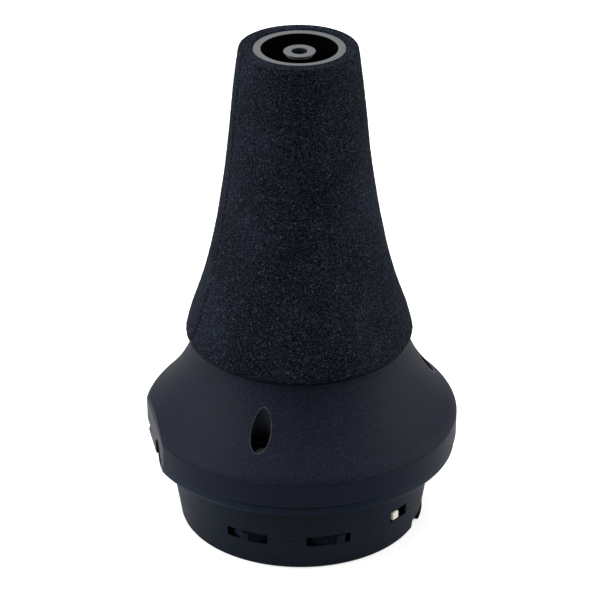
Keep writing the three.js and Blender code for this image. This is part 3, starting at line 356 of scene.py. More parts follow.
    def _combined(self, others: Iterable["Form"], operation: str) -> "Form":
        """Runs one boolean operation for each other form.

        Args:
            others: The other forms, which are used up.
            operation: The modifier's operation.

        Returns:
            The form, with the result as its mesh.
        """
        target = self.as_object("target")
        tools = [other.as_object("tool") for other in others]
        for tool in tools:
            modifier = target.modifiers.new("Boolean", "BOOLEAN")
            modifier.operation = operation
            modifier.solver = "EXACT"
            modifier.object = tool
        self.mesh = bmesh.new()
        self.mesh.from_object(target, bpy.context.evaluated_depsgraph_get())
        for used in (target, *tools):
            data = used.data
            bpy.data.objects.remove(used)
            bpy.data.meshes.remove(data)
        bmesh.ops.dissolve_degenerate(self.mesh, dist=MERGE_DISTANCE, edges=self.mesh.edges[:])
        return self

    def as_object(self, name: str) -> bpy.types.Object:
        """Turns the form into an object of the scene, which uses the form up.

        Args:
            name: The object's name.

        Returns:
            The object, at the origin.
        """
        data = bpy.data.meshes.new(name)
        self.mesh.to_mesh(data)
        self.mesh.free()
        thing = bpy.data.objects.new(name, data)
        bpy.context.scene.collection.objects.link(thing)
        return thing


class Tree:
    """A node tree in work."""

    def __init__(self, owner: bpy.types.Material | bpy.types.World, output: str) -> None:
        """Empties the tree and adds its output.

        Args:
            owner: The material or world that the tree belongs to.
            output: The output node's type.
        """
        owner.use_nodes = True
        self.nodes = owner.node_tree.nodes
        self.links = owner.node_tree.links
        self.nodes.clear()
        self.output = self.nodes.new(output)

    @cached_property
    def place(self) -> Socket:
        """The piece's own coordinates."""
        return self.add("ShaderNodeTexCoord").outputs["Object"]

    def fill(self, node: bpy.types.Node, *values: NodeValue, **named: NodeValue) -> bpy.types.Node:
        """Fills a node's sockets.

        Args:
            node: The node.
            values: What its first sockets get, in order: a number, a colour or another node's socket.
            named: What its named sockets get. Underscores stand for spaces.

        Returns:
            The node.
        """
        sockets = [*node.inputs[:len(values)], *(node.inputs[name.replace("_", " ")] for name in named)]
        for socket, value in zip(sockets, (*values, *named.values())):
            if isinstance(value, Socket):
                self.links.new(value, socket)
            else:
                socket.default_value = value
        return node

    def add(self, kind: str, *values: NodeValue, **named: NodeValue) -> bpy.types.Node:
        """Adds a node of a type and fills its sockets."""
        return self.fill(self.nodes.new(kind), *values, **named)

    def show(self, shader: bpy.types.Node) -> None:
        """Links a shader to the tree's output."""
        self.links.new(shader.outputs[0], self.output.inputs["Surface"])

    def axis(self, name: str) -> Socket:
        """Gives the X, Y or Z of the piece's own coordinates."""
        return self.add("ShaderNodeSeparateXYZ", self.place).outputs[name]

    def ranged(self, value: Socket, start: float, end: float, low: NodeValue = 0,
               high: NodeValue = 1) -> Socket:
        """Maps a value from one range to another, held at its ends.

        Args:
            value: The value.
            start: What becomes low.
            end: What becomes high.
            low: The result at start.
            high: The result at end.

        Returns:
            The mapped value.
        """
        return self.add("ShaderNodeMapRange", value, start, end, low, high).outputs[0]


class Graph(Tree):
    """A material's node tree in work, with one surface shader."""

    def __init__(self, name: str) -> None:
        """Starts a material.

        Args:
            name: The material's name.
        """
        self.material = bpy.data.materials.new(name)
        super().__init__(self.material, "ShaderNodeOutputMaterial")
        self.surface = self.add("ShaderNodeBsdfPrincipled")
        self.show(self.surface)

    def put(self, **values: NodeValue) -> None:
        """Fills the shader's own sockets, named with underscores for spaces."""
        self.fill(self.surface, **values)

    def noise(self, size: float, detail: float = 2, stretch: Colour = (1, 1, 1)) -> Socket:
        """Adds a noise pattern.

        Args:
            size: Size of its blotches.
            detail: Finer layers on top.
            stretch: Scales the pattern along X, Y and Z.

        Returns:
            The noise, from 0 to 1.
        """
        return self.add("ShaderNodeTexNoise", Vector=self.stretched(stretch), Scale=1 / size,
                        Detail=detail).outputs["Fac"]

    def cells(self, size: float, output: str = "Distance") -> Socket:
        """Adds a pattern of round cells.

        Args:
            size: Size of a cell.
            output: "Distance" from the cell's middle, or its random "Color".

        Returns:
            The pattern.
        """
        return self.add("ShaderNodeTexVoronoi", Vector=self.place, Scale=1 / size).outputs[output]

    def stretched(self, stretch: Colour) -> Socket:
        """Gives the piece's own coordinates, scaled along X, Y and Z."""
        return self.add("ShaderNodeMapping", self.place, Scale=stretch).outputs["Vector"]

    def length(self, vector: Socket) -> Socket:
        """Gives the length of a vector."""
        node = self.add("ShaderNodeVectorMath", vector)
        node.operation = "LENGTH"
        return node.outputs["Value"]

    def radius(self) -> Socket:
        """Gives the distance from the Z axis."""
        return self.length(self.stretched((1, 1, 0)))

    def oval(self, place: Matrix, half_sizes: Point) -> Socket:
        """Gives the distance from the axis of an upright oval.

        Args:
            place: The oval's place.
            half_sizes: Half of its length and half of its width.

        Returns:
            0 on the axis and 1 on the oval.
        """
        mapping = self.add("ShaderNodeMapping", self.stretched((1, 1, 0)), Rotation=place.to_euler(),
                           Location=(place.translation.x, place.translation.y, 0), Scale=(*half_sizes, 1))
        mapping.vector_type = "TEXTURE"
        return self.length(mapping.outputs["Vector"])

    def maths(self, operation: str, *values: Socket | float) -> Socket:
        """Adds a sum.

        Args:
            operation: The node's operation.
            values: Its values, each a socket or a number.

        Returns:
            The result.
        """
        node = self.add("ShaderNodeMath", *values)
        node.operation = operation
        return node.outputs[0]

    def joined(self, operation: str, values: Iterable[Socket]) -> Socket:
        """Joins several values by one operation."""
        return reduce(partial(self.maths, operation), values)

    def blended(self, first: Socket, second: Socket, share: float) -> Socket:
        """Adds up a share of one value and the rest of another."""
        return self.maths("ADD", self.maths("MULTIPLY", first, share),
                          self.maths("MULTIPLY", second, 1 - share))

    def between(self, value: Socket, low: float, high: float, fade: float) -> Socket:
        """Gives 1 between two values and 0 outside them, with a soft step just inside each."""
        return self.maths("MULTIPLY", self.ranged(value, low, low + fade),
                          self.ranged(value, high, high - fade))

    def spread(self, pattern: Socket, low: float = 0, high: float = 1) -> Socket:
        """Maps the usual values of a noise to a range."""
        return self.ranged(pattern, *NOISE_SPREAD, low, high)

    def colours(self, value: Socket, *stops: tuple[float, Colour]) -> Socket:
        """Gives a colour for each value.

        Args:
            value: The value, from 0 to 1.
            stops: The places and colours of the ramp, in order.

        Returns:
            The colour.
        """
        node = self.add("ShaderNodeValToRGB", value)
        elements = node.color_ramp.elements
        while len(elements) < len(stops):
            elements.new(1)
        for element, (place, colour) in zip(elements, stops):
            element.position = place
            element.color = (*colour, 1)
        return node.outputs["Color"]

    def shades(self, pattern: Socket, colour: Colour, factors: Range) -> Socket:
        """Gives a colour, darker and lighter by two factors, over the usual values of a noise."""
        dark, light = (scaled(colour, factor) for factor in factors)
        return self.colours(self.spread(pattern), (0, dark), (1, light))

    def mixed(self, share: Socket, first: Socket | Colour, second: Socket | Colour) -> Socket:
        """Mixes two colours.

        Args:
            share: Share of the second colour.
            first: The first colour.
            second: The second colour.

        Returns:
            The mixed colour.
        """
        node = self.nodes.new("ShaderNodeMix")
        node.data_type = "RGBA"
        sockets = {socket.identifier: socket for socket in node.inputs}
        self.links.new(share, sockets["Factor_Float"])
        for name, colour in (("A_Color", first), ("B_Color", second)):
            if isinstance(colour, tuple):
                sockets[name].default_value = (*colour, 1)
            else:
                self.links.new(colour, sockets[name])
        return next(socket for socket in node.outputs if socket.identifier == "Result_Color")

    def bump(self, height: Socket, depth: float) -> None:
        """Puts a relief on the surface.

        Args:
            height: The relief, from 0 to 1.
            depth: Its real depth.
        """
        node = self.add("ShaderNodeBump", Height=height, Distance=depth, Strength=1)
        self.put(Normal=node.outputs["Normal"])


@dataclass(frozen=True)
class FoamFinish:
    """Coarse closed-cell foam: dark blue-black, with painted shade in its pores, painted light on its raised
    grain and sparse painted glints.
    """

    # Painted shade in the low places and pores; the raised grain is painted lighter by a factor.
    painted_pit_shade: Colour = (0.0006, 0.0008, 0.0014)
    body: Colour = (0.0035, 0.0049, 0.0084)
    # Colour of the painted glints.
    painted_glint: Colour = (0.055, 0.065, 0.09)
    painted_grain_light_factor: float = 4.3
    roughness: float = 0.95
    gloss: float = 0.1
    pore_size: float = 0.00056
    grain_size: float = 0.00037
    grain_share: float = 0.7
    shade_range: Range = (0.4, 0.58)
    shade_share: float = 0.75
    patch_size: float = 0.02
    glint_range: Range = (0.8, 1)
    glint_grain: Range = (0.5, 0.62)
    relief: float = 0.00025

    def material(self) -> bpy.types.Material:
        """Builds the material."""
        graph = Graph("foam")
        grain = graph.noise(self.grain_size, 1)
        height = graph.blended(grain, graph.cells(self.pore_size), self.grain_share)
        # Painted shade and light: the relief's height sets the colour, dark in the pores and lighter on the
        # raised grain.
        shade = graph.maths("MULTIPLY", graph.ranged(height, *self.shade_range), self.shade_share)
        patches = graph.spread(graph.noise(self.patch_size), 0, 1 - self.shade_share)
        tone = graph.colours(graph.maths("ADD", shade, patches), (0.1, self.painted_pit_shade), (0.5, self.body),
                             (0.9, scaled(self.body, self.painted_grain_light_factor)))
        # Sparse painted glints on random cells of the raised grain.
        random = graph.add("ShaderNodeSeparateColor", graph.cells(self.pore_size, "Color")).outputs[0]
        painted_glints = graph.maths("MULTIPLY", graph.ranged(random, *self.glint_range),
                             graph.ranged(grain, *self.glint_grain))
        graph.put(Base_Color=graph.mixed(painted_glints, tone, self.painted_glint), Roughness=self.roughness,
                  Specular_IOR_Level=self.gloss)
        graph.bump(height, self.relief)
        return graph.material


@dataclass(frozen=True)
class TexturedPlastic:
    """Spark-textured moulded plastic above a crease, and smoother below it, with painted shade deep in its
    wells and a painted highlight round their rims.
    """

    name: str
    colour: Colour
    crease: float
    band: Colour
    wells: "Wells"
    # A thin ring round each well's mouth is painted lighter as a painted highlight.
    rim_highlight_shares: Range = (1.07, 1.055)
    wall_shares: Range = (1.008, 1.004)
    lit_depths: Range = (0.044, 0.05)
    # Painted shade: deep in each well the wall is painted black; higher up it keeps the wall colour.
    painted_pit_shade: Colour = (0.0003, 0.0003, 0.0004)
    wall: Colour = (0.011, 0.0125, 0.0165)
    # Colour of the painted highlight round the wells' mouths.
    rim: Colour = (0.024, 0.029, 0.042)
    grain_size: float = 0.0006
    fine_size: float = 0.0003
    drift_size: float = 0.03
    grain_share: float = 0.65
    grain_range: Range = (0.36, 0.64)
    contrast: Range = (0.55, 1.75)
    band_contrast: Range = (0.9, 1.12)
    band_fade: float = 0.0004
    band_polish: float = 0.16
    band_relief_share: float = 0.18
    rim_polish: float = 0.34
    well_gloss_share: float = 0.1
    well_relief_share: float = 0.05
    relief: float = 0.00016
    rough_range: Range = (0.35, 0.65)
    roughness: Range = (0.52, 0.66)
    gloss: Range = (0.12, 0.9)

    def material(self) -> bpy.types.Material:
        """Builds the material."""
        graph = Graph(self.name)
        ovals = [graph.oval(place, self.wells.half_sizes) for place in self.wells.places()]
        share = graph.joined("MINIMUM", ovals)
        # The ring round each well's mouth, which gets the painted highlight.
        rim = graph.ranged(share, *self.rim_highlight_shares)
        inside = graph.ranged(share, *self.wall_shares)
        height = graph.axis("Z")
        upper = graph.ranged(height, self.crease, self.crease + self.band_fade)
        mottle = graph.blended(graph.noise(self.grain_size, 2), graph.noise(self.fine_size, 1),
                               self.grain_share)
        dark, light = (scaled(self.colour, factor) for factor in self.contrast)
        grained = graph.colours(graph.ranged(mottle, *self.grain_range),
                                (0, dark), (0.5, self.colour), (1, light))
        smooth = graph.shades(graph.noise(self.drift_size, 2), self.band, self.band_contrast)
        outside = graph.mixed(rim, graph.mixed(upper, smooth, grained), self.rim)
        # Each well's wall: painted black as painted shade below the lit depths, the wall colour above.
        well_lining_shaded = graph.mixed(graph.ranged(height, *self.lit_depths), self.painted_pit_shade, self.wall)
        rough = graph.ranged(mottle, *self.rough_range, *self.roughness)
        polish = graph.maths("ADD", graph.ranged(upper, 1, 0, 0, self.band_polish),
                             graph.ranged(rim, 0, 1, 0, self.rim_polish))
        gloss = graph.maths("MULTIPLY", graph.ranged(rim, 0, 1, *self.gloss),
                            graph.ranged(inside, 1, 0, self.well_gloss_share, 1))
        graph.put(Base_Color=graph.mixed(inside, outside, well_lining_shaded), Specular_IOR_Level=gloss,
                  Roughness=graph.maths("SUBTRACT", rough, polish))
        relief = graph.maths("MULTIPLY", mottle, graph.ranged(upper, 0, 1, self.band_relief_share, 1))
        flatter = graph.ranged(graph.maths("ADD", rim, inside), 1, 0, self.well_relief_share, 1)
        graph.bump(graph.maths("MULTIPLY", relief, flatter), self.relief)
        return graph.material


@dataclass(frozen=True)
class SatinPlastic:
    """Smooth moulded plastic with a faint grain, a slight drift in colour and fine rubbed marks.

    Inside a radius, between two heights, it is painted black and unpolished as painted shade. Outside another
    radius it is painted lighter as painted light.
    """

    name: str
    colour: Colour
    roughness: float = 0.42
    gloss: float = 0.25
    roughness_drift: Range = (-0.04, 0.07)
    grain_size: float = 0.00035
    drift_size: float = 0.018
    rub_size: float = 0.0012
    rub_stretch: Colour = (1, 1, 7)
    rub_range: Range = (0.35, 0.7)
    relief: float = 0.00001
    contrast: Range = (0.88, 1.12)
    # Inside this radius and between these heights the plastic is painted black as painted shade.
    core_radius: float = 0
    core_heights: Range = (0, 0)
    shaded_core_colour: Colour = (0.0008, 0.0009, 0.0012)
    core_gloss: float = 0.02
    core_fade: float = 0.0001
    # Outside this radius the colour is painted lighter, as painted light.
    painted_light_radius: float = 0
    painted_light_factor: float = 1.6

    def material(self) -> bpy.types.Material:
        """Builds the material."""
        graph = Graph(self.name)
        tone = graph.shades(graph.noise(self.drift_size, 3), self.colour, self.contrast)
        gloss = self.gloss
        if self.core_radius:
            radius = graph.radius()
            # Beyond a radius, painted lighter as painted light.
            rim = graph.ranged(radius, self.painted_light_radius, self.painted_light_radius + self.core_fade)
            # Inside the skirt and cap, painted black as painted shade.
            core = graph.maths("MULTIPLY", graph.between(graph.axis("Z"), *self.core_heights, self.core_fade),
                               graph.ranged(radius, self.core_radius, self.core_radius - self.core_fade))
            lit = graph.mixed(rim, tone, scaled(self.colour, self.painted_light_factor))
            tone = graph.mixed(core, lit, self.shaded_core_colour)
            gloss = graph.ranged(core, 0, 1, self.gloss, self.core_gloss)
        rubs = graph.noise(self.rub_size, 4, self.rub_stretch)
        rough = graph.ranged(rubs, *self.rub_range,
                             *(self.roughness + drift for drift in self.roughness_drift))
        graph.put(Base_Color=tone, Specular_IOR_Level=gloss, Roughness=rough)
        graph.bump(graph.noise(self.grain_size, 2), self.relief)
        return graph.material


@dataclass(frozen=True)
class CappedPlastic:
    """Plastic that is grey in some heights outside its bore and dark elsewhere, with its own colour in the
    bore's mouth. On the nozzle the dark and the mouth's colour are painted shade; on the tip ring the dark
    colours the inner wall black.
    """

    name: str
    grey_heights: tuple[Range, ...]
    bore_radius: float
    colour: Colour = (0.132, 0.139, 0.147)
    # Dark below and between the grey heights and in the bore: painted shade on the nozzle.
    dark: Colour = (0.0012, 0.0012, 0.0015)
    throat: Colour = (0.0012, 0.0012, 0.0015)
    throat_depth: float = 0.0012
    fade: float = 0.00006
    bore_fade: float = 0.00005
    contrast: Range = (0.86, 1.12)
    gloss: Range = (0.02, 0.3)
    roughness: Range = (0.5, 0.62)
    grain_size: float = 0.0005
    relief: float = 0.00003

    def material(self) -> bpy.types.Material:
        """Builds the material."""
        graph = Graph(self.name)
        grain = graph.noise(self.grain_size, 3)
        height = graph.axis("Z")
        lit = graph.joined("MAXIMUM", [graph.between(height, low - self.fade, high + self.fade, self.fade)
                                       for low, high in self.grey_heights])
        outside = graph.ranged(graph.radius(), self.bore_radius - self.bore_fade,
                               self.bore_radius + self.bore_fade)
        bare = graph.maths("MULTIPLY", lit, outside)
        top = self.grey_heights[0][1]
        # The bore's mouth: on the nozzle a painted half shade, between the dark and the grey.
        mouth = graph.maths("MULTIPLY", graph.ranged(height, top - self.throat_depth, top),
                            graph.ranged(outside, 1, 0))
        grey = graph.shades(grain, self.colour, self.contrast)
        graph.put(Base_Color=graph.mixed(bare, graph.mixed(mouth, self.dark, self.throat), grey),
                  Specular_IOR_Level=graph.ranged(bare, 0, 1, *self.gloss),
                  Roughness=graph.spread(grain, *self.roughness))
        graph.bump(grain, self.relief)
        return graph.material


@dataclass(frozen=True)
class IvoryFinish:
    """Moulded ivory plastic, with faint patches of grime."""

    colour: Colour = (0.94, 0.9, 0.76)
    dirt: Colour = (0.66, 0.6, 0.44)
    haze_size: float = 0.0011
    contrast: Range = (0.94, 1.05)
    grime_size: float = 0.0004
    grime_range: Range = (0.56, 0.75)
    grime_share: float = 0.35
    roughness: Range = (0.32, 0.45)
    relief: float = 0.00002

    def material(self) -> bpy.types.Material:
        """Builds the material."""
        graph = Graph("ivory_plastic")
        haze = graph.noise(self.haze_size, 3)
        grime = graph.ranged(graph.noise(self.grime_size, 4), *self.grime_range, 0, self.grime_share)
        base = graph.shades(haze, self.colour, self.contrast)
        graph.put(Base_Color=graph.mixed(grime, base, self.dirt), Specular_IOR_Level=0.5,
                  Roughness=graph.spread(haze, *self.roughness))
        graph.bump(haze, self.relief)
        return graph.material


@dataclass(frozen=True)
class MetalFinish:
    """Metal with fine turning or rolling marks and dull patches."""

    name: str
    colour: Colour
    roughness: float = 0.3
    mark_size: float = 0.0003
    stretch: Colour = (1, 1, 12)
    mark_roughness: float = 0.12
    dull_size: float = 0.003
    dull_range: Range = (0.35, 0.7)
    dull_factor: float = 0.72
    dull_roughness: float = 0.15
    relief: float = 0.00001

    def material(self) -> bpy.types.Material:
        """Builds the material."""
        graph = Graph(self.name)
        marks = graph.noise(self.mark_size, 3, self.stretch)
        dull = graph.ranged(graph.noise(self.dull_size, 3), *self.dull_range)
        graph.put(Metallic=1, Base_Color=graph.colours(
            dull, (0, self.colour), (1, scaled(self.colour, self.dull_factor))))
        worn = graph.ranged(dull, 0, 1, self.roughness, self.roughness + self.dull_roughness)
        graph.put(Roughness=graph.maths("ADD", graph.spread(marks, 0, self.mark_roughness), worn))
        graph.bump(marks, self.relief)
        return graph.material


@dataclass(frozen=True)
class RubberFinish:
    """Matt rubber with dust in its grain."""

    colour: Colour = (0.012, 0.012, 0.013)
    dust: Colour = (0.045, 0.044, 0.043)
    dust_range: Range = (0.45, 0.8)
    grain_size: float = 0.0004
    gloss: float = 0.2
    roughness: Range = (0.72, 0.9)
    relief: float = 0.00002

    def material(self) -> bpy.types.Material:
        """Builds the material."""
        graph = Graph("rubber")
        grain = graph.noise(self.grain_size, 4)
        clean, dusty = self.dust_range
        graph.put(Base_Color=graph.colours(grain, (clean, self.colour), (dusty, self.dust)),
                  Specular_IOR_Level=self.gloss, Roughness=graph.spread(grain, *self.roughness))
        graph.bump(grain, self.relief)
        return graph.material


@dataclass(frozen=True)
class BoardFinish:
    """Green circuit board with copper tracks under the lacquer."""

    lacquer: Colour = (0.012, 0.09, 0.035)
    track: Colour = (0.03, 0.19, 0.07)
    track_share: float = 0.12
    pitch: float = 0.0022
    stretch: Colour = (0.35, 1, 1)
    weave_size: float = 0.0006
    roughness: Range = (0.3, 0.42)
    relief: float = 0.00004

    def material(self) -> bpy.types.Material:
        """Builds the material."""
        graph = Graph("circuit_board")
        tracks = graph.add("ShaderNodeTexBrick", graph.stretched(self.stretch), Scale=1 / self.pitch,
                           Mortar_Size=self.track_share).outputs["Fac"]
        graph.put(Base_Color=graph.mixed(tracks, self.lacquer, self.track), Specular_IOR_Level=0.5,
                  Roughness=graph.spread(graph.noise(self.weave_size, 2), *self.roughness))
        graph.bump(tracks, self.relief)
        return graph.material


@dataclass(frozen=True)
class CellJacket:
    """A shrink-wrapped cell: grey, with a lighter band at its button end."""

    colour: Colour = (0.12, 0.13, 0.14)
    band: Colour = (0.4, 0.41, 0.42)
    band_start: float = 0.012
    band_fade: float = 0.0003
    metallic: float = 0.35
    wrap_size: float = 0.002
    roughness: Range = (0.25, 0.4)
    relief: float = 0.00004

    def material(self) -> bpy.types.Material:
        """Builds the material."""
        graph = Graph("cell_jacket")
        wrap = graph.noise(self.wrap_size, 3)
        distance = graph.maths("ABSOLUTE", graph.axis("X"))
        band = graph.ranged(distance, self.band_start, self.band_start + self.band_fade)
        graph.put(Base_Color=graph.mixed(band, self.colour, self.band), Metallic=self.metallic,
                  Roughness=graph.spread(wrap, *self.roughness))
        graph.bump(wrap, self.relief)
        return graph.material


@dataclass(frozen=True)
class Sizes:
    """The mute's main sizes, read from the frame."""

    top: float
    foam_foot: float
    belly_radius: float
    shell_foot: float
    shell_top: float
    bulb_radius: float
    plate_radius: float
    skirt_foot: float
    cap_radius: float
    bay_top: float
    swell: float = 0.0004
    shell_rise: float = 0.0004
    neck_rise: float = 0.0008
    parting: float = 0.00008
    crease_rise: float = 0.0077
    plate_thickness: float = 0.002
    well_floor_rise: float = 0.0041
    well_inset: float = 0.0102
    land_inset: float = 0.0026

    @classmethod
    def read(cls) -> "Sizes":
        """Reads the sizes from the boxes of the frame's nodes."""
        foam_low, foam_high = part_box("foam_sleeve")
        shell_low, shell_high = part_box("upper_shell")
        housing_low, housing_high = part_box("control_housing")
        cap_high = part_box("bottom_cap")[1]
        return cls(
            top=foam_high.z, foam_foot=foam_low.z, belly_radius=foam_high.x,
            shell_foot=shell_low.z, shell_top=shell_high.z, bulb_radius=shell_high.x,
            plate_radius=housing_high.x, skirt_foot=housing_low.z,
            cap_radius=cap_high.x + cls.swell, bay_top=cap_high.z)

    @property
    def crease(self) -> float:
        """Height of the bulb's crease."""
        return self.shell_foot + self.crease_rise

    @property
    def plate_top(self) -> float:
        """Height of the plate's upper face."""
        return self.shell_foot - SEAT_GAP

    @property
    def rim_top(self) -> float:
        """Height of the plate's upper face at its rim, where the bulb's edge sits."""
        return self.plate_top + self.shell_rise

    @property
    def plate_underside(self) -> float:
        """Height of the plate's lower face."""
        return self.plate_top - self.plate_thickness

    @property
    def cap_top(self) -> float:
        """Height of the bottom cap's upper edge."""
        return self.skirt_foot - self.parting * 2

    @property
    def skirt_radius(self) -> float:
        """Radius of the skirt's lower edge, flush with the cap's."""
        return self.cap_radius

    @property
    def well_floor(self) -> float:
        """Height of the floors of the screw wells."""
        return self.crease + self.well_floor_rise

    @property
    def well_ring(self) -> float:
        """Distance of the wells from the axis."""
        return self.bulb_radius - self.well_inset

    @property
    def land_distance(self) -> float:
        """Distance of the flat land from the axis."""
        return self.bulb_radius - self.land_inset


@dataclass(frozen=True)
class Wells:
    """The three oval screw wells in the bulb's flank."""

    sizes: Sizes
    radius: float = 0.0031
    stretch: float = 1.21
    shift: float = 0.0005
    turn: float = -0.8

    @property
    def half_sizes(self) -> Point:
        """Half of a well's length, towards the axis, and half of its width."""
        return self.radius * self.stretch, self.radius

    def places(self) -> list[Matrix]:
        """Gives the places of the wells, which are a little off their screws."""
        return [facing(azimuth + self.turn, self.sizes.well_ring + self.shift) for azimuth in WELL_AZIMUTHS]

    def cuts(self) -> list[Form]:
        """Makes the tools that cut the wells."""
        stretch = Matrix.Diagonal((self.stretch, 1, 1, 1))
        return [Form.rod(self.radius, self.sizes.well_floor, self.sizes.top, 96).placed(place @ stretch)
                for place in self.places()]


@dataclass
class Finishes:
    """Every finish of the mute, built once."""

    sizes: Sizes
    core_inset: float = 0.0009
    core_reach: float = 0.0027
    plate_overhang: float = 0.001
    nozzle_depth: float = 0.00115
    collar_depths: Range = (0.00225, 0.00187)
    nozzle_bore: float = 0.00245
    nozzle_throat_depth: float = 0.0035
    ring_depth: float = 0.0004
    ring_bore: float = 0.01172

    def __post_init__(self) -> None:
        """Builds the materials."""
        sizes = self.sizes
        top = sizes.top
        collar = tuple(top - depth for depth in self.collar_depths)
        self.by_slot: dict[Slot, bpy.types.Material] = {
            Slot.FOAM: FoamFinish().material(),
            Slot.SHELL: TexturedPlastic(
                "shell_plastic", (0.0072, 0.01, 0.02), sizes.crease, (0.0102, 0.014, 0.0255),
                Wells(sizes)).material(),
            # The base's inside is painted black as painted shade, and its plate band beyond the skirt is
            # painted lighter as painted light.
            Slot.BASE: SatinPlastic(
                "base_plastic", (0.0048, 0.0095, 0.0195), 0.42, 0.18,
                core_radius=sizes.skirt_radius - self.core_inset,
                core_heights=(sizes.skirt_foot - self.core_reach, sizes.plate_underside),
                painted_light_radius=sizes.skirt_radius + self.plate_overhang).material(),
            Slot.COVER: SatinPlastic("cover_plastic", (0.0009, 0.001, 0.0014), 0.8, 0.02).material(),
            Slot.WHEEL: SatinPlastic("wheel_plastic", (0.0078, 0.0118, 0.0215), 0.5, 0.08).material(),
            Slot.INNER: SatinPlastic("inner_plastic", (0.0012, 0.0012, 0.0014), 0.8, 0.03).material(),
            # On the nozzle, the lip's side, the groove and the bore are painted dark as painted shade, and
            # the bore's mouth a dimmer painted half shade.
            Slot.GREY: CappedPlastic(
                "grey_plastic", ((top - self.nozzle_depth, top), collar), self.nozzle_bore,
                throat=(0.035, 0.04, 0.06), throat_depth=self.nozzle_throat_depth).material(),
            Slot.IVORY: IvoryFinish().material(),
            Slot.STEEL: MetalFinish("screw_steel", (0.8, 0.81, 0.84), 0.2).material(),
            Slot.RUBBER: RubberFinish().material(),
            Slot.BOARD: BoardFinish().material(),
            Slot.CAN: MetalFinish("mic_can", (0.5, 0.51, 0.52), 0.3).material(),
            Slot.CELL: CellJacket().material(),
            Slot.CONTACT: MetalFinish("contact_plate", (0.62, 0.52, 0.3), 0.26, 0.0004, (1, 6, 1)).material(),
        }
        self.ring = CappedPlastic("ring_plastic", ((top - self.ring_depth, top),), self.ring_bore).material()


@dataclass
class Assembly:
    """A sub-assembly, which builds its pieces in place and dresses them."""

    sizes: Sizes
    finishes: Finishes

    def build(self) -> None:
        """Builds every piece of the sub-assembly."""
        raise NotImplementedError

    def install(self, form: Form, name: str, slot: Slot, replaces: Sequence[str], body: Body = Body.MUTE,
                material: bpy.types.Material | None = None, weighted: bool = True) -> bpy.types.Object:
        """Finishes a piece and hands it to the frame.

        Args:
            form: The piece's shape, in its place.
            name: The piece's name.
            slot: The material slot that it takes its finish from.
            replaces: The frame's nodes that it stands for.
            body: The body that it rides on.
            material: Its own material, where it isn't the slot's.
            weighted: Whether large faces set the shading of their edges.

        Returns:
            The piece.
        """
        piece = form.as_object(name)
        piece.data.polygons.foreach_set("use_smooth", [True] * len(piece.data.polygons))
        if weighted:
            piece.data.set_sharp_from_angle(angle=SHARP_ANGLE)
            modifier = piece.modifiers.new("Weighted normals", "WEIGHTED_NORMAL")
            modifier.keep_sharp = True
        piece.data.materials.append(material or self.finishes.by_slot[slot])
        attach(piece, body.value)
        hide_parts(*replaces)
        log.info("%s: %d faces, in place of %s", name, len(piece.data.polygons), ", ".join(replaces))
        return piece


@dataclass(frozen=True)
class Flare:
    """The cone's flare: how much of its widening is left at each share of its height."""

    shares: tuple[Point, ...] = (
        (0, 1), (0.064, 0.909), (0.128, 0.79), (0.213, 0.648), (0.319, 0.506), (0.447, 0.375),
        (0.617, 0.239), (0.809, 0.131), (0.973, 0.028), (1, 0))

    def slope(self, index: int) -> float:
        """Gives the slope at one of the points, from its neighbours."""
        before = self.shares[max(index - 1, 0)]
        after = self.shares[min(index + 1, len(self.shares) - 1)]
        return (after[1] - before[1]) / (after[0] - before[0])

    def at(self, share: float) -> float:
        """Gives the flare at a share of the height.

        Args:
            share: 0 at the belly and 1 at the tip.

        Returns:
            1 at the belly and 0 at the tip, smooth between the points.
        """
        last = len(self.shares) - 2
        index = next((i for i in range(last + 1) if share <= self.shares[i + 1][0]), last)
        (x0, y0), (x1, y1) = self.shares[index], self.shares[index + 1]
        width = x1 - x0
        t = min(max((share - x0) / width, 0), 1)
        rise = y0 * (1 + 2 * t) * (1 - t) ** 2 + y1 * t * t * (3 - 2 * t)
        return rise + width * (self.slope(index) * t * (1 - t) ** 2 - self.slope(index + 1) * t * t * (1 - t))


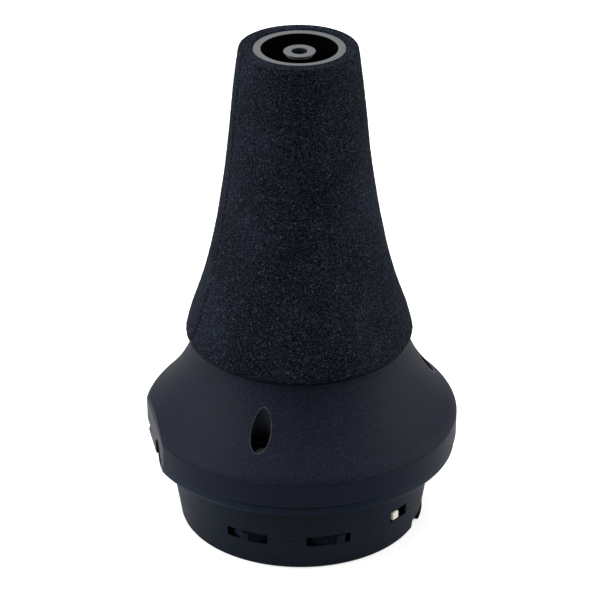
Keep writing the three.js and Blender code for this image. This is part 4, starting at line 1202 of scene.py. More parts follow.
@dataclass
class FoamCone(Assembly):
    """The foam sleeve: a wrapped sheet with a rough skin and one glued seam on the left."""

    tip_radius: float = 0.018
    tip_round: float = 0.0005
    belly_rise: float = 0.0033
    foot_rise: float = 0.0006
    tip_rise: float = 0.00035
    foot_inset: float = 0.0027
    bore_tip_radius: float = 0.0144
    bore_foot_radius: float = 0.0309
    bore_rows: int = 24
    row: float = 0.0006
    columns: int = 384
    skin_size: float = 0.0009
    skin_depth: float = 0.00022
    lump_size: float = 0.011
    lump_depth: float = 0.00022
    fullness: float = 0.00027
    lean: float = -0.00035
    seam_azimuth: float = -68
    seam_slant: float = -13
    seam_slant_rise: float = 0.0035
    seam_width: float = 0.0007
    seam_depth: float = 0.0015
    seam_fade: float = 0.3
    seam_fade_rise: float = 0.012

    def build(self) -> None:
        """Builds the sleeve."""
        form = Form.spun(self.outline(), self.columns).shaped(self.roughened)
        piece = self.install(form, "foam_cover", Slot.FOAM, ["foam_sleeve"], weighted=False)

    def outline(self) -> list[Point]:
        """Gives the sleeve's section: foot, belly, flare, tip and bore."""
        sizes = self.sizes
        flare = Flare()
        top = sizes.top + self.tip_rise
        foot = (sizes.belly_radius - self.foot_inset, sizes.foam_foot + self.foot_rise)
        belly_height = sizes.foam_foot + self.belly_rise
        rise = top - belly_height
        rows = round((rise - self.tip_round) / self.row)
        side = []
        for index in range(rows + 1):
            height = belly_height + (rise - self.tip_round) * index / rows
            widening = flare.at((height - belly_height) / rise)
            side.append((self.tip_radius + (sizes.belly_radius - self.tip_radius) * widening, height))
        rim = (self.tip_radius - self.tip_round, top)
        skin = [foot, *bend(foot, (sizes.belly_radius, foot[1]), side[0], 8), *side[1:],
                *bend(side[-1], (side[-1][0], top), rim, 4), (self.bore_tip_radius, top)]
        heights = [foot[1] + (top - foot[1]) * row / self.bore_rows for row in range(self.bore_rows)]
        bore = [(self.bore_radius(height), height) for height in reversed(heights)]
        return [*resampled(skin, self.row), *bore]

    def bore_radius(self, height: float) -> float:
        """Gives the bore's radius at a height."""
        share = (height - self.sizes.foam_foot) / (self.sizes.top - self.sizes.foam_foot)
        return self.bore_tip_radius + (self.bore_foot_radius - self.bore_tip_radius) * Flare().at(share)

    def roughened(self, place: Vector) -> Vector:
        """Gives a point of the skin its pits, lumps and seam. The bore stays as it is."""
        radius = place.xy.length
        if radius < self.bore_radius(place.z) + self.tip_round:
            return place
        rise = place.z - self.sizes.foam_foot
        pits = noise.fractal(place / self.skin_size, 1, 2, 3)
        lumps = noise.noise(place / self.lump_size)
        sink = self.skin_depth * (0.5 + 0.5 * pits) + self.lump_depth * (0.5 + 0.5 * lumps) - self.fullness
        seam = polar(self.seam_azimuth + self.seam_slant * math.exp(-rise / self.seam_slant_rise))
        across = radius * ((math.atan2(place.y, place.x) - seam + math.pi) % FULL_TURN - math.pi)
        depth = self.seam_fade + (1 - self.seam_fade) * math.exp(-rise / self.seam_fade_rise)
        sink += self.seam_depth * depth * math.exp(-(across / self.seam_width) ** 2)
        inward = Vector((place.x, place.y, 0)) / -radius
        return place + inward * sink + Vector((self.lean, 0, 0))


@dataclass
class Mouth(Assembly):
    """The grey ring at the tip of the cone and the nozzle of the air tube inside it."""

    ring_radius: float = 0.0141
    ring_foot_radius: float = 0.01475
    ring_bore: float = 0.01167
    ring_height: float = 0.006
    spigot_radius: float = 0.0124
    spigot_length: float = 0.005
    ring_round: float = 0.00022
    nozzle_radius: float = 0.00488
    nozzle_inset: float = 0.0009
    lip: float = 0.00028
    groove: float = 0.00072
    groove_depth: float = 0.001
    collar: float = 0.0003
    collar_inset: float = 0.0008
    tube_radius: float = 0.0036
    bore_radius: float = 0.0024
    tube_foot: float = 0.001
    edge: float = 0.0002

    def build(self) -> None:
        """Builds the ring and the tube."""
        self.install(Form.spun(self.ring_outline(), 160), "mouth_ring", Slot.GREY, ["tip_ring"],
                     material=self.finishes.ring)
        self.install(Form.spun(self.tube_outline(), 96), "air_pipe", Slot.GREY, ["air_tube"])

    def ring_outline(self) -> list[Point]:
        """Gives the ring's section, with its spigot in the cone."""
        top = self.sizes.top
        foot = top - self.ring_height
        return rounded([
            (self.ring_bore, foot - self.spigot_length, self.edge),
            (self.spigot_radius, foot - self.spigot_length, self.edge),
            (self.spigot_radius, foot, 0),
            (self.ring_foot_radius, foot, 0),
            (self.ring_radius, top, self.ring_round),
            (self.ring_bore, top, self.ring_round),
        ])

    def tube_outline(self) -> list[Point]:
        """Gives the tube's section, with the nozzle's lip, groove and collar."""
        face = self.sizes.top - self.nozzle_inset
        lip = face - self.lip
        groove = lip - self.groove
        collar = groove - self.collar
        neck = self.nozzle_radius - self.groove_depth
        return rounded([
            (self.bore_radius, self.tube_foot, self.edge),
            (self.tube_radius, self.tube_foot, self.edge),
            (self.tube_radius, collar, 0),
            (self.nozzle_radius - self.collar_inset, collar, self.edge),
            (self.nozzle_radius - self.collar_inset, groove, self.edge),
            (neck, groove, 0),
            (neck, lip, 0),
            (self.nozzle_radius, lip, self.edge),
            (self.nozzle_radius, face, self.edge),
            (self.bore_radius, face, self.edge),
        ])


@dataclass(frozen=True)
class Land:
    """The flat land on the bulb's left flank and the plug's opening in it."""

    sizes: Sizes
    azimuth: float = -78.4
    wall: float = 0.0022
    setback: float = 0.0001
    opening_offset: float = 0.0056
    opening_sink: float = 0.0005
    opening_radius: float = 0.0048

    def beyond(self, distance: float) -> Form:
        """Makes the block of everything further out than a distance."""
        reach = 2 * self.sizes.bulb_radius
        block = Form.block((distance, reach), (-reach, reach), (0, self.sizes.top))
        return block.placed(facing(self.azimuth))

    def opening(self) -> Form:
        """Makes the round tool that opens the land and the plate's edge for a plug."""
        reach = self.wall + OVERRUN
        tool = Form.rod(self.opening_radius, -reach, reach, 64).placed(LYING)
        height = self.sizes.plate_top - self.opening_sink
        tool.placed(Matrix.Translation((self.sizes.land_distance, self.opening_offset, height)))
        return tool.placed(facing(self.azimuth))


@dataclass
class Bulb(Assembly):
    """The bulb: a hollow shell with three screw wells and a flat land with the plug's opening."""

    wall: float = 0.0026
    foot_draft: float = 0.0001
    foot_bevel: float = 0.0002
    shoulder_run: float = 0.0027
    shoulder_rise: float = 0.0042
    shoulder_bend: float = 0.0015
    neck_radius: float = 0.0342
    neck_straight: float = 0.0014
    neck_bevel: float = 0.0003
    neck_lip: float = 0.0022
    neck_hole: float = 0.0309
    flank_bend_radius_share: float = 0.228
    flank_bend_height_share: float = 0.487
    well_wall: float = 0.0022
    edge: float = 0.00018
    steps: int = 256

    def build(self) -> None:
        """Builds the shell."""
        sizes = self.sizes
        land = Land(sizes)
        wells = Wells(sizes)
        tubes = Form.rods(wells.radius + self.well_wall, (sizes.well_floor - OVERRUN, sizes.top),
                          WELL_AZIMUTHS, sizes.well_ring, 64)
        chamber = Form.spun(self.chamber_outline(), 128)
        chamber.cut(land.beyond(sizes.land_distance - land.wall), *tubes)
        shell = Form.spun(self.outer_outline(), self.steps)
        shell.cut(land.beyond(sizes.land_distance))
        shell.softened(self.edge * 2, 3, lambda place: place.z > sizes.rim_top + self.foot_bevel * 2)
        shell.cut(*wells.cuts(), land.opening())
        holes = Form.rods(SHANK_HOLE, (0, sizes.top), WELL_AZIMUTHS, sizes.well_ring, 64)
        neck = Form.rod(self.neck_hole, sizes.shell_top - self.neck_lip - OVERRUN, sizes.top, 128)
        shell.cut(chamber, neck, *holes)
        self.install(shell, "bulb_shell", Slot.SHELL, ["upper_shell"])

    def flank(self, inset: float, steps: int) -> list[Point]:
        """Gives the bulb's side from its crease to its neck.

        Args:
            inset: How far inside the outer face it lies.
            steps: Points on the flank.

        Returns:
            The points of the side.
        """
        sizes = self.sizes
        crease = (sizes.bulb_radius - inset, sizes.crease)
        shoulder = (crease[0] - self.shoulder_run, sizes.crease + self.shoulder_rise)
        neck = (self.neck_radius - inset, sizes.shell_top + sizes.neck_rise - self.neck_straight)
        control = (neck[0] + (shoulder[0] - neck[0]) * self.flank_bend_radius_share,
                   shoulder[1] + (neck[1] - shoulder[1]) * self.flank_bend_height_share)
        return [crease, *bend(crease, (crease[0], sizes.crease + self.shoulder_bend), shoulder, steps // 3),
                *bend(shoulder, control, neck, steps)]

    def outer_outline(self) -> list[Point]:
        """Gives the outer section, closed at the axis."""
        sizes = self.sizes
        corner = (sizes.bulb_radius - self.foot_draft, sizes.rim_top + SEAT_GAP)
        start = (corner[0] - self.foot_bevel, corner[1])
        neck = (self.neck_radius, sizes.shell_top + sizes.neck_rise)
        return [
            (0, corner[1]), start, *bend(start, corner, (corner[0], corner[1] + self.foot_bevel), 3),
            *self.flank(0, 30),
            *bend((neck[0], neck[1] - self.neck_bevel), neck, (neck[0] - self.neck_bevel, neck[1]), 3),
            (0, neck[1])]

    def chamber_outline(self) -> list[Point]:
        """Gives the inner section, closed at the axis."""
        sizes = self.sizes
        low = sizes.shell_foot - OVERRUN
        foot_radius = sizes.bulb_radius - self.foot_draft - self.wall
        top = sizes.shell_top - self.neck_lip
        return [(0, low), (foot_radius, low), (foot_radius, sizes.rim_top), *self.flank(self.wall, 12),
                (self.neck_radius - self.wall, top), (0, top)]


@dataclass(frozen=True)
class Windows:
    """The openings that the controls show through, cut in the skirt and the cap alike."""

    sizes: Sizes
    wheel_azimuths: tuple[float, float] = (-24.9, 13.15)
    wheel_radius: float = 0.009
    wheel_room: float = 0.00985
    wheel_protrusion: float = 0.0002
    wheel_window_sides: tuple[Range, Range] = ((-0.007, 0.0068), (-0.0076, 0.0065))
    wheel_window_drop: float = 0.0021
    wheel_window_height: float = 0.0035
    rim_reach: float = 0.0002
    switch_azimuth: float = 49.9
    switch_window_sides: Range = (-0.0041, 0.0036)
    switch_window_drop: float = 0.0006
    switch_window_height: float = 0.0039
    switch_depth: float = 0.009

    @property
    def wheel_ring(self) -> float:
        """Distance of the wheels' axes from the mute's axis."""
        return self.sizes.skirt_radius + self.wheel_protrusion - self.wheel_radius

    def cuts(self) -> list[Form]:
        """Makes the tools that cut the windows."""
        outside = self.sizes.bulb_radius
        low = self.sizes.cap_top - self.wheel_window_drop
        high = low + self.wheel_window_height
        tools = []
        for azimuth, sides in zip(self.wheel_azimuths, self.wheel_window_sides):
            tools.append(Form.block((self.wheel_ring, outside), sides, (low, high)).placed(facing(azimuth)))
            tools.append(Form.rod(self.wheel_room, low, high, 96).placed(facing(azimuth, self.wheel_ring)))
        low = self.sizes.cap_top - self.switch_window_drop
        inner = self.sizes.skirt_radius - self.switch_depth
        high = low + self.switch_window_height
        switch = Form.block((inner, outside), self.switch_window_sides, (low, high))
        return [*tools, switch.placed(facing(self.switch_azimuth))]

    def at_rim(self, place: Vector) -> bool:
        """Says whether a point lies where a window meets the outside."""
        near = abs(place.z - self.sizes.skirt_foot) < self.switch_window_height
        return near and place.xy.length > self.sizes.skirt_radius - self.rim_reach


@dataclass
class ControlHousing(Assembly):
    """The plate under the bulb and the skirt below it, one moulding with screw posts."""

    plate_round: float = 0.00025
    plate_taper: float = 0.0004
    plate_step: float = 0.00018
    plate_lean: float = 0.0005
    groove_height: float = 0.0005
    groove_depth: float = 0.0016
    plate_lip: Range = (0.0003, 0.0005)
    plate_rim_drop: float = 0.0006
    plate_land: float = 0.0155
    skirt_draft: float = 0.0007
    skirt_wall: float = 0.0028
    skirt_edge: float = 0.00006
    root_round: float = 0.0004
    tube_hole: float = 0.0056
    post_radius: float = 0.0034
    post_drop: float = 0.0023
    boss_radius: float = 0.003
    boss_length: float = 0.0094
    mic_place: Point = (0.014, 0.01)
    grommet_hole: float = 0.0044
    edge: float = 0.00012
    steps: int = 256

    def build(self) -> None:
        """Builds the housing."""
        sizes = self.sizes
        land = Land(sizes)
        windows = Windows(sizes)
        middle = (sizes.plate_top + sizes.plate_underside) / 2
        post_top = sizes.well_floor - self.post_drop
        housing = Form.spun(self.outline(), self.steps)
        housing.fused(
            *Form.rods(self.post_radius, (middle, post_top), WELL_AZIMUTHS, sizes.well_ring),
            *Form.rods(self.boss_radius, (sizes.plate_underside - self.boss_length, middle),
                       CAP_SCREW_AZIMUTHS, CAP_SCREW_RING))
        post_holes = Form.rods(SHANK_HOLE, (sizes.plate_top, post_top + OVERRUN), WELL_AZIMUTHS,
                               sizes.well_ring, 32)
        boss_holes = Form.rods(SHANK_HOLE, (sizes.skirt_foot, sizes.plate_underside), CAP_SCREW_AZIMUTHS,
                               CAP_SCREW_RING, 32)
        grommet = Form.rod(self.grommet_hole, sizes.plate_underside - OVERRUN, sizes.plate_top + OVERRUN)
        grommet.placed(Matrix.Translation((*self.mic_place, 0)))
        housing.cut(*post_holes, *boss_holes, grommet, *windows.cuts(), land.opening(),
                    land.beyond(sizes.land_distance - land.setback))
        housing.softened(self.edge, 2, windows.at_rim)
        self.install(housing, "control_skirt", Slot.BASE, ["control_housing"])

    def outline(self) -> list[Point]:
        """Gives the section of the plate and the skirt."""
        sizes = self.sizes
        skirt_top = sizes.skirt_radius + self.skirt_draft
        under = sizes.plate_underside
        foot = sizes.skirt_foot - sizes.parting
        low = under - self.plate_rim_drop
        groove = sizes.rim_top - self.groove_height
        rim = sizes.plate_radius
        return rounded([
            (self.tube_hole, under, 0),
            (skirt_top - self.skirt_wall, under, 0),
            (sizes.skirt_radius - self.skirt_wall, foot, 0),
            (sizes.skirt_radius, foot, self.skirt_edge),
            (skirt_top, low, self.root_round),
            (rim - self.plate_taper, low, self.plate_round),
            (rim, low + self.plate_lip[0], self.skirt_edge),
            (rim - self.plate_step, low + self.plate_lip[1], self.skirt_edge),
            (rim - self.plate_lean, groove, self.skirt_edge),
            (rim - self.groove_depth, groove, 0),
            (rim - self.groove_depth, sizes.rim_top, 0),
            (rim - self.plate_land, sizes.rim_top, 0),
            (rim - self.plate_land, sizes.plate_top, 0),
            (self.tube_hole, sizes.plate_top, 0),
        ])


@dataclass
class BottomCap(Assembly):
    """The lowest moulding: the rounded foot with its rim, and the bay for the two cells inside it."""

    draft: float = 0.0015
    foot_round: float = 0.0014
    wall: float = 0.0023
    rim_width: float = 0.0039
    top_edge: float = 0.00006
    floor_underside: float = 0.0028
    floor_thickness: float = 0.0016
    cavity_half_length: float = 0.02375
    cavity_half_width: float = 0.0055
    cell_offset: float = 0.0102
    bay_wall: float = 0.0012
    bay_roof: float = 0.0008
    boss_radius: float = 0.003
    seat_radius: float = 0.0044
    seat_height: float = 0.0045
    head_hole: float = 0.0031
    notch_top: float = 0.0036
    head_ceiling: float = 0.0052
    tube_hole: float = 0.0039
    notch_angles: Range = (-14.5, 17.3)
    slot_angles: Range = (-3.2, 15)
    slot_radii: Range = (0.030935, 0.033335)
    edge: float = 0.00012
    steps: int = 256

    def build(self) -> None:
        """Builds the cap."""
        sizes = self.sizes
        windows = Windows(sizes)
        cap = Form.spun(self.outline(), self.steps)
        cap.fused(self.bay(), *self.bosses())
        cap.cut(*self.cavities(), *self.holes(), *self.notches(), *self.slots(), *windows.cuts())
        cap.softened(self.edge, 2, lambda place: windows.at_rim(place) or self.at_notch(place))
        self.install(cap, "base_cap", Slot.BASE, ["bottom_cap"])

    def at_notch(self, place: Vector) -> bool:
        """Says whether a point lies on the outer rim, no higher than the notches."""
        rim_inner = self.sizes.cap_radius - self.draft - self.rim_width
        return place.z < self.notch_top + MERGE_DISTANCE * 10 and place.xy.length > rim_inner

    def outline(self) -> list[Point]:
        """Gives the section of the foot, the side and the floor."""
        sizes = self.sizes
        foot_radius = sizes.cap_radius - self.draft
        rim_inner = foot_radius - self.rim_width
        floor_top = self.floor_underside + self.floor_thickness
        foot = (foot_radius - self.foot_round, 0)
        corner = (sizes.cap_radius, sizes.cap_top)
        below = (corner[0], corner[1] - self.top_edge)
        return [
            (0, self.floor_underside), (rim_inner, self.floor_underside), (rim_inner, 0), foot,
            *bend(foot, (foot_radius, 0), (foot_radius, self.foot_round), 6),
            below, *bend(below, corner, (corner[0] - self.top_edge, corner[1]), 3),
            (corner[0] - self.wall, corner[1]), (foot_radius - self.wall, floor_top), (0, floor_top)]

    def bay(self) -> Form:
        """Makes the block that the cells lie in."""
        half_length = self.cavity_half_length + self.bay_wall
        half_width = self.cell_offset + self.cavity_half_width + self.bay_wall
        low = self.floor_underside + self.floor_thickness / 2
        return Form.block((-half_length, half_length), (-half_width, half_width), (low, self.sizes.bay_top))

    def bosses(self) -> list[Form]:
        """Makes the screw seats and the posts above them."""
        low = self.floor_underside + self.floor_thickness / 2
        seats = Form.rods(self.seat_radius, (low, self.floor_underside + self.seat_height),
                          CAP_SCREW_AZIMUTHS, CAP_SCREW_RING)
        posts = Form.rods(self.boss_radius, (low, self.sizes.bay_top), CAP_SCREW_AZIMUTHS, CAP_SCREW_RING)
        return list(chain(*zip(seats, posts)))

    def cavities(self) -> list[Form]:
        """Makes the tools for the two cells' room, open below."""
        heights = (self.floor_underside - OVERRUN, self.sizes.bay_top - self.bay_roof)
        return [Form.block((-self.cavity_half_length, self.cavity_half_length),
                           (middle - self.cavity_half_width, middle + self.cavity_half_width), heights)
                for middle in (-self.cell_offset, self.cell_offset)]

    def holes(self) -> list[Form]:
        """Makes the tools for the screws and the air tube."""
        high = self.sizes.bay_top + OVERRUN
        heads = Form.rods(self.head_hole, (0, self.head_ceiling), CAP_SCREW_AZIMUTHS, CAP_SCREW_RING)
        shanks = Form.rods(SHANK_HOLE, (0, high), CAP_SCREW_AZIMUTHS, CAP_SCREW_RING, 32)
        return [Form.rod(self.tube_hole, 0, high), *chain(*zip(heads, shanks))]

    def notches(self) -> list[Form]:
        """Makes the tools for the finger notches in the rim."""
        outer = self.sizes.cap_radius
        radii = (outer - self.draft - self.rim_width - OVERRUN, outer + OVERRUN)
        start, end = self.notch_angles
        return [Form.sector(radii, (azimuth + start, azimuth + end), (-OVERRUN, self.notch_top))
                for azimuth in TAB_AZIMUTHS]

    def slots(self) -> list[Form]:
        """Makes the tools for the slots that the cover's lugs turn in."""
        heights = (self.floor_underside - OVERRUN, self.floor_underside + self.floor_thickness + OVERRUN)
        start, end = self.slot_angles
        return [Form.sector(self.slot_radii, (azimuth + start, azimuth + end), heights)
                for azimuth in LUG_AZIMUTHS]


@dataclass
class BatteryCover(Assembly):
    """The round cover below the cells, with two finger tabs and three hooked lugs."""

    underside: float = 0.0008
    thickness: float = 0.0016
    radius: float = 0.034935
    hole: float = 0.0044
    tab_radius: float = 0.0393
    tab_root: float = 0.0015
    tab_heights: Range = (0.0004, 0.0033)
    tab_edge: float = 0.0004
    tab_half_angle: float = 6.3
    grip_rise: float = 0.00035
    grip_half_angle: float = 0.45
    grip_angles: tuple[float, ...] = (-4, -2, 0, 2, 4)
    lug_radii: Range = (0.031235, 0.033035)
    lug_half_angle: float = 2.5
    toe_angle: float = 6.5
    toe_heights: Range = (0.0047, 0.006)
    rim_groove: Range = (0.0312, 0.0318)
    groove_depth: float = 0.0003
    edge: float = 0.00022

    def build(self) -> None:
        """Builds the cover."""
        low = self.underside
        top = low + self.thickness
        inner, outer = self.rim_groove
        disc = Form.spun(rounded([
            (self.hole, low, self.edge), (inner, low, 0), (inner, low + self.groove_depth, 0),
            (outer, low + self.groove_depth, 0), (outer, low, 0), (self.radius, low, self.edge),
            (self.radius, top, self.edge), (self.hole, top, self.edge),
        ], 3), 192)
        tabs = [Form.sector((self.radius - self.tab_root, self.tab_radius),
                            (azimuth - self.tab_half_angle, azimuth + self.tab_half_angle), self.tab_heights)
                .softened(self.tab_edge, 3) for azimuth in TAB_AZIMUTHS]
        self.install(disc.fused(*tabs, *self.lugs(), *self.grips()), "cell_cover", Slot.COVER,
                     ["battery_cover"], Body.BATTERY_COVER)

    def lugs(self) -> list[Form]:
        """Makes the hooked lugs."""
        forms = []
        low = self.underside + self.thickness / 2
        for azimuth in LUG_AZIMUTHS:
            stem = (azimuth - self.lug_half_angle, azimuth + self.lug_half_angle)
            toe = (azimuth - self.lug_half_angle - self.toe_angle, azimuth)
            forms.append(Form.sector(self.lug_radii, stem, (low, self.toe_heights[1]), 4))
            forms.append(Form.sector(self.lug_radii, toe, self.toe_heights, 6))
        return forms

    def grips(self) -> list[Form]:
        """Makes the finger ribs below each tab."""
        radii = (self.radius, self.tab_radius - self.tab_edge)
        heights = (self.tab_heights[0] - self.grip_rise, self.tab_heights[0] + self.edge)
        middles = [azimuth + angle for azimuth in TAB_AZIMUTHS for angle in self.grip_angles]
        return [Form.sector(radii, (middle - self.grip_half_angle, middle + self.grip_half_angle), heights, 2)
                .softened(self.grip_rise / 3, 2) for middle in middles]


@dataclass
class Thumbwheel(Assembly):
    """A thumbwheel: fine ribs, a smooth raised mark, and a plain recessed stretch beside the mark."""

    name: str = ""
    body: Body = Body.VOLUME_WHEEL
    azimuth: float = 0
    mark_angle: float = 0
    plain_side: int = 1
    radius: float = 0.009
    thickness: float = 0.0027
    edge: float = 0.0002
    mark_rise: float = 0.00055
    mark_half_angle: float = math.radians(9)
    plain_angle: float = math.radians(62)
    plain_recess: float = 0.0005
    ribs: int = 75
    rib_depth: float = 0.0006
    rib_limit: float = 0.5
    steps_per_rib: int = 6
    shaft_radius: float = 0.002
    shaft_length: float = 0.0019

    def build(self) -> None:
        """Builds the wheel."""
        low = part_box(self.name)[0].z
        high = low + self.thickness
        wheel = Form.spun(self.section(low, high), self.ribs * self.steps_per_rib).shaped(self.ribbed)
        turn = facing(self.azimuth, Windows(self.sizes).wheel_ring) @ Matrix.Rotation(
            math.radians(self.mark_angle), 4, "Z")
        wheel.placed(turn)
        self.install(wheel, f"{self.name}_ribbed", Slot.WHEEL, [self.name], self.body)

    def section(self, low: float, high: float) -> list[Point]:
        """Gives the wheel's section, closed at the axis, with its shaft on top."""
        rim = rounded([
            (0, low, 0), (self.radius, low, self.edge), (self.radius, high, self.edge), (0, high, 0)], 3)
        return [*rim[:-1], (self.shaft_radius, high), (self.shaft_radius, high + self.shaft_length),
                (0, high + self.shaft_length)]

    def ribbed(self, place: Vector) -> Vector:
        """Moves a point of the rim out or in, for the ribs, the mark and the plain stretch."""
        radius = place.xy.length
        if radius < self.radius - self.edge * 2:
            return place
        angle = math.atan2(place.y, place.x) * self.plain_side
        if abs(angle) < self.mark_half_angle:
            rise = self.mark_rise
        elif 0 < angle < self.mark_half_angle + self.plain_angle:
            rise = -self.plain_recess
        else:
            wave = math.cos(angle * self.ribs)
            rise = self.rib_depth * (max(-self.rib_limit, min(self.rib_limit, wave)) - self.rib_limit)
        factor = (radius + rise) / radius
        return Vector((place.x * factor, place.y * factor, place.z))


@dataclass
class SlideSwitch(Assembly):
    """The ivory button of the slide switch."""

    edge: float = 0.0003
    slack: float = 0.00012
    sink: float = 0.0006
    shift: float = -0.0003
    lift: float = 0.00025

    def build(self) -> None:
        """Builds the button from the frame's own button."""
        windows = Windows(self.sizes)
        node = bpy.data.objects["switch_nub"]
        turn = facing(windows.switch_azimuth)
        local = [turn.inverted() @ corner.co for corner in node.data.vertices]
        low = Vector([min(place[axis] for place in local) for axis in range(3)])
        high = Vector([max(place[axis] for place in local) for axis in range(3)])
        button = Form.block((low.x, high.x - self.sink),
                            (low.y + self.slack + self.shift, high.y - self.slack + self.shift),
                            (low.z + self.slack + self.lift, high.z - self.slack))
        button.softened(self.edge, 4).placed(turn)
        self.install(button, "switch_button", Slot.IVORY, ["switch_nub"], Body.SWITCH_NUB)


@dataclass
class Screw(Assembly):
    """A pan-head screw with a cross recess, upright or head down."""

    name: str = ""
    piece_name: str = ""
    head_down: bool = False
    head_radius: float = 0.0025
    head_height: float = 0.0018
    dome: float = 0.0007
    shank_radius: float = 0.0013
    cross_length: float = 0.0017
    cross_width: float = 0.0003
    cross_depth: float = 0.0011
    cross_taper_share: float = 0.35
    tip: float = 0.0008
    tip_share: float = 0.35
    dome_bend_share: float = 0.96
    dome_top_share: float = 0.55

    def build(self) -> None:
        """Builds the screw in the place of its node."""
        low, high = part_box(self.name)
        length = high.z - low.z
        seat = length - self.head_height
        shoulder = (self.head_radius, seat + self.head_height - self.dome)
        section = [(0, 0), (self.shank_radius * self.tip_share, 0), (self.shank_radius, self.tip),
                   (self.shank_radius, seat), (self.head_radius, seat), shoulder,
                   *bend(shoulder, (self.head_radius * self.dome_bend_share, length),
                         (self.head_radius * self.dome_top_share, length), 5), (0, length)]
        screw = Form.spun(section, 48)
        screw.cut(*(self.arm(turn, length) for turn in (0, math.pi / 2)))
        if self.head_down:
            screw.placed(Matrix.Translation((0, 0, length)) @ Matrix.Rotation(math.pi, 4, "X"))
        middle = (low + high) / 2
        screw.placed(Matrix.Translation((middle.x, middle.y, low.z)))
        self.install(screw, self.piece_name, Slot.STEEL, [self.name])

    def arm(self, turn: float, top: float) -> Form:
        """Makes one tapered arm of the cross that is cut in the head."""
        arm = Form.block((-self.cross_length, self.cross_length), (-self.cross_width, self.cross_width),
                         (top - self.cross_depth, top + self.cross_depth))
        arm.shaped(lambda place: Vector((place.x * (1 if place.z > top else self.cross_taper_share),
                                         place.y, place.z)))
        return arm.placed(Matrix.Rotation(turn + math.pi / 4, 4, "Z"))


@dataclass
class HeadphoneSocket(Assembly):
    """The headphone socket's body behind the land, with its bore and a black collar in the plug's opening."""

    collar_slack: float = 0.0003
    collar_inset: float = 0.0006
    collar_root: float = 0.0004
    width: float = 0.007
    depth: float = 0.0112
    height: float = 0.0046
    bore_radius: float = 0.0018
    bore_depth: float = 0.009
    rim: float = 0.0004
    edge: float = 0.0003

    def build(self) -> None:
        """Builds the socket's body."""
        land = Land(self.sizes)
        half = self.width / 2
        body = Form.block((-self.depth, 0), (-half, half), (0, self.height)).softened(self.edge, 3)
        face = self.sizes.land_distance - land.wall - SEAT_GAP
        reach = self.sizes.land_distance - face
        end = reach - self.collar_inset
        turn = Matrix.Translation((0, 0, self.height / 2)) @ LYING
        collar = Form.rod(land.opening_radius - self.collar_slack, -self.collar_root, end, 96)
        collar.placed(Matrix.Translation((0, 0, -land.opening_sink - SEAT_GAP)) @ LYING)
        bore = Form.rod(self.bore_radius, -self.bore_depth, reach + OVERRUN).placed(turn)
        mouth = Form.rod(self.bore_radius, end - self.rim, end, 48, self.bore_radius + self.rim).placed(turn)
        place = facing(land.azimuth) @ Matrix.Translation(
            (face, land.opening_offset, self.sizes.plate_top + SEAT_GAP))
        socket = body.fused(collar).cut(bore, mouth).placed(place)
        self.install(socket, "socket_body", Slot.INNER, ["headphone_jack"])


@dataclass
class Interior(Assembly):
    """The pieces inside, which keep the frame's shapes and get their finishes."""

    nodes: tuple[tuple[Slot, tuple[str, ...]], ...] = (
        (Slot.INNER, ("cone_core", "tube_spider", "signal_chip", "volume_pot", "tone_pot", "switch_body")),
        (Slot.RUBBER, ("jack_lead", "mic_lead", "mic_grommet", "tube_seal")),
        (Slot.CAN, ("pickup_mic", "capacitor_1", "capacitor_2", "capacitor_3")),
        (Slot.BOARD, ("circuit_board",)),
        (Slot.CELL, ("front_cell", "rear_cell")),
        (Slot.CONTACT, ("front_button_contact", "front_spring_contact",
                        "rear_button_contact", "rear_spring_contact")),
    )

    def build(self) -> None:
        """Dresses each inner node."""
        for slot, names in self.nodes:
            for name in names:
                node = bpy.data.objects[name]
                for index in range(len(node.material_slots)):
                    node.material_slots[index].material = self.finishes.by_slot[slot]
                log.info("%s: dressed as %s", name, slot.value)


@dataclass
class Camera:
    """The camera at the photographed view."""

    place: tuple[float, float, float] = (-0.0001, -0.78055, 0.48468)
    pitch: float = math.radians(27.708)
    roll: float = math.radians(-0.2)
    lens: float = 168.68
    sensor: float = 36

    def build(self) -> None:
        """Adds the camera and makes it the scene's."""
        data = bpy.data.cameras.new("camera")
        data.lens = self.lens
        data.sensor_width = self.sensor
        camera = bpy.data.objects.new("camera", data)
        camera.location = self.place
        camera.rotation_euler = (Matrix.Rotation(math.pi / 2 - self.pitch, 3, "X")
                                 @ Matrix.Rotation(self.roll, 3, "Z")).to_euler()
        bpy.context.scene.collection.objects.link(camera)
        bpy.context.scene.camera = camera


@dataclass(frozen=True)
class Softbox:
    """One soft lamp that looks at the middle of the mute."""

    name: str
    place: tuple[float, float, float]
    size: float
    power: float

    def build(self, target: Vector) -> None:
        """Adds the lamp.

        Args:
            target: The point that it looks at.
        """
        data = bpy.data.lights.new(self.name, "AREA")
        data.shape = "SQUARE"
        data.size = self.size
        data.energy = self.power
        lamp = bpy.data.objects.new(self.name, data)
        lamp.location = self.place
        lamp.rotation_euler = (target - Vector(self.place)).to_track_quat("-Z", "Y").to_euler()
        bpy.context.scene.collection.objects.link(lamp)


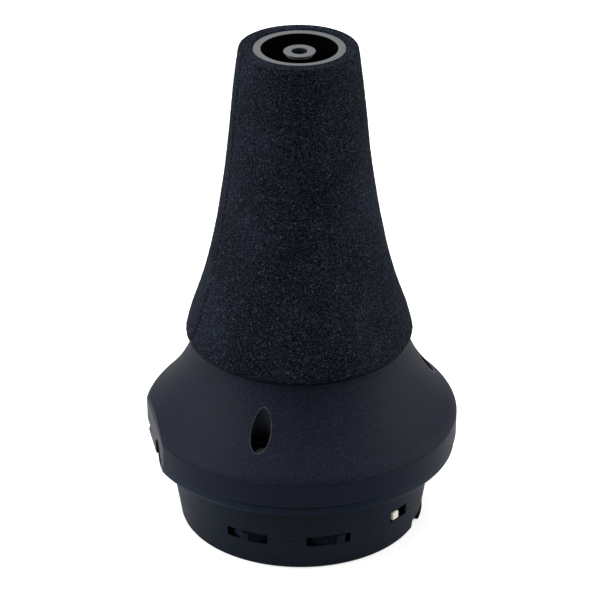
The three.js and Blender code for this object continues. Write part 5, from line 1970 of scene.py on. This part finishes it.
@dataclass
class Studio:
    """A pale floor, a white world behind it and soft light from both sides."""

    sizes: Sizes
    floor_size: float = 6
    floor_colour: Colour = (0.82, 0.82, 0.82)
    floor_glow: float = 0.6
    floor_bounce: float = 0.45
    floor_sheen: Range = (0.14, 0.78)
    sheen_edge: Range = (-0.1, 0.02)
    fill: float = 0.42
    sheen: float = 0.1
    lamps: tuple[Softbox, ...] = (
        Softbox("left_lamp", (-1.05, -0.15, 0.55), 0.9, 12.3),
        Softbox("right_lamp", (1.1, 0.05, 0.5), 0.9, 10),
        Softbox("top_lamp", (0.05, -0.1, 1.4), 0.7, 5),
        Softbox("back_lamp", (-0.25, 0.95, 0.8), 0.6, 3),
    )

    def build(self) -> None:
        """Adds the floor, the world and the lamps."""
        bpy.context.scene.view_settings.view_transform = "Standard"
        self.build_floor()
        self.build_world()
        target = Vector((0, 0, self.sizes.top / 2))
        for lamp in self.lamps:
            lamp.build(target)

    def build_floor(self) -> None:
        """Adds the floor, which the camera sees as white with the shadow on it."""
        mesh = bmesh.new()
        bmesh.ops.create_grid(mesh, x_segments=2, y_segments=2, size=self.floor_size / 2)
        floor = Form(mesh).as_object("floor")
        material = bpy.data.materials.new("floor")
        tree = Tree(material, "ShaderNodeOutputMaterial")
        path = tree.add("ShaderNodeLightPath").outputs
        mirrored = tree.ranged(tree.axis("Y"), *self.sheen_edge, *self.floor_sheen)
        bounced = tree.ranged(path["Is Glossy Ray"], 0, 1, self.floor_bounce, mirrored)
        matt = tree.add("ShaderNodeBsdfDiffuse", Color=(*self.floor_colour, 1))
        glow = tree.add("ShaderNodeEmission", Strength=self.floor_glow)
        seen = tree.add("ShaderNodeAddShader", matt.outputs[0], glow.outputs[0])
        unseen = tree.add("ShaderNodeBsdfDiffuse", Color=bounced)
        tree.show(tree.add("ShaderNodeMixShader", path["Is Camera Ray"], unseen.outputs[0], seen.outputs[0]))
        floor.data.materials.append(material)

    def build_world(self) -> None:
        """Adds the world, white where it is seen and dimmer where it lights."""
        world = bpy.data.worlds.new("studio")
        tree = Tree(world, "ShaderNodeOutputWorld")
        path = tree.add("ShaderNodeLightPath").outputs
        lit = tree.ranged(path["Is Glossy Ray"], 0, 1, self.fill, self.sheen)
        strength = tree.ranged(path["Is Camera Ray"], 0, 1, lit, 1)
        tree.show(tree.add("ShaderNodeBackground", Color=(1, 1, 1, 1), Strength=strength))
        bpy.context.scene.world = world


def screws(sizes: Sizes, finishes: Finishes) -> list[Assembly]:
    """Gives the six screws.

    Args:
        sizes: The mute's main sizes.
        finishes: The finishes.

    Returns:
        Three screws in the wells and three below the cap.
    """
    found: list[Assembly] = []
    for number in (1, 2, 3):
        found.append(Screw(sizes, finishes, f"shell_screw_{number}", f"well_screw_{number}"))
        found.append(Screw(sizes, finishes, f"cap_screw_{number}", f"foot_screw_{number}", True,
                           CAP_SCREW_HEAD_RADIUS))
    return found


def main() -> None:
    """Builds the scene round the frame."""
    logging.basicConfig(level=logging.INFO, format="%(name)s: %(message)s")
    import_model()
    sizes = Sizes.read()
    Camera().build()
    Studio(sizes).build()
    finishes = Finishes(sizes)
    volume_azimuth, tone_azimuth = Windows(sizes).wheel_azimuths
    assemblies: list[Assembly] = [
        FoamCone(sizes, finishes),
        Mouth(sizes, finishes),
        Bulb(sizes, finishes),
        ControlHousing(sizes, finishes),
        BottomCap(sizes, finishes),
        BatteryCover(sizes, finishes),
        Thumbwheel(sizes, finishes, "volume_wheel", Body.VOLUME_WHEEL, volume_azimuth, -3.5, -1),
        Thumbwheel(sizes, finishes, "tone_wheel", Body.TONE_WHEEL, tone_azimuth, 21, 1),
        SlideSwitch(sizes, finishes),
        *screws(sizes, finishes),
        HeadphoneSocket(sizes, finishes),
        Interior(sizes, finishes),
    ]
    for assembly in assemblies:
        assembly.build()


if __name__ == "__main__":
    main()
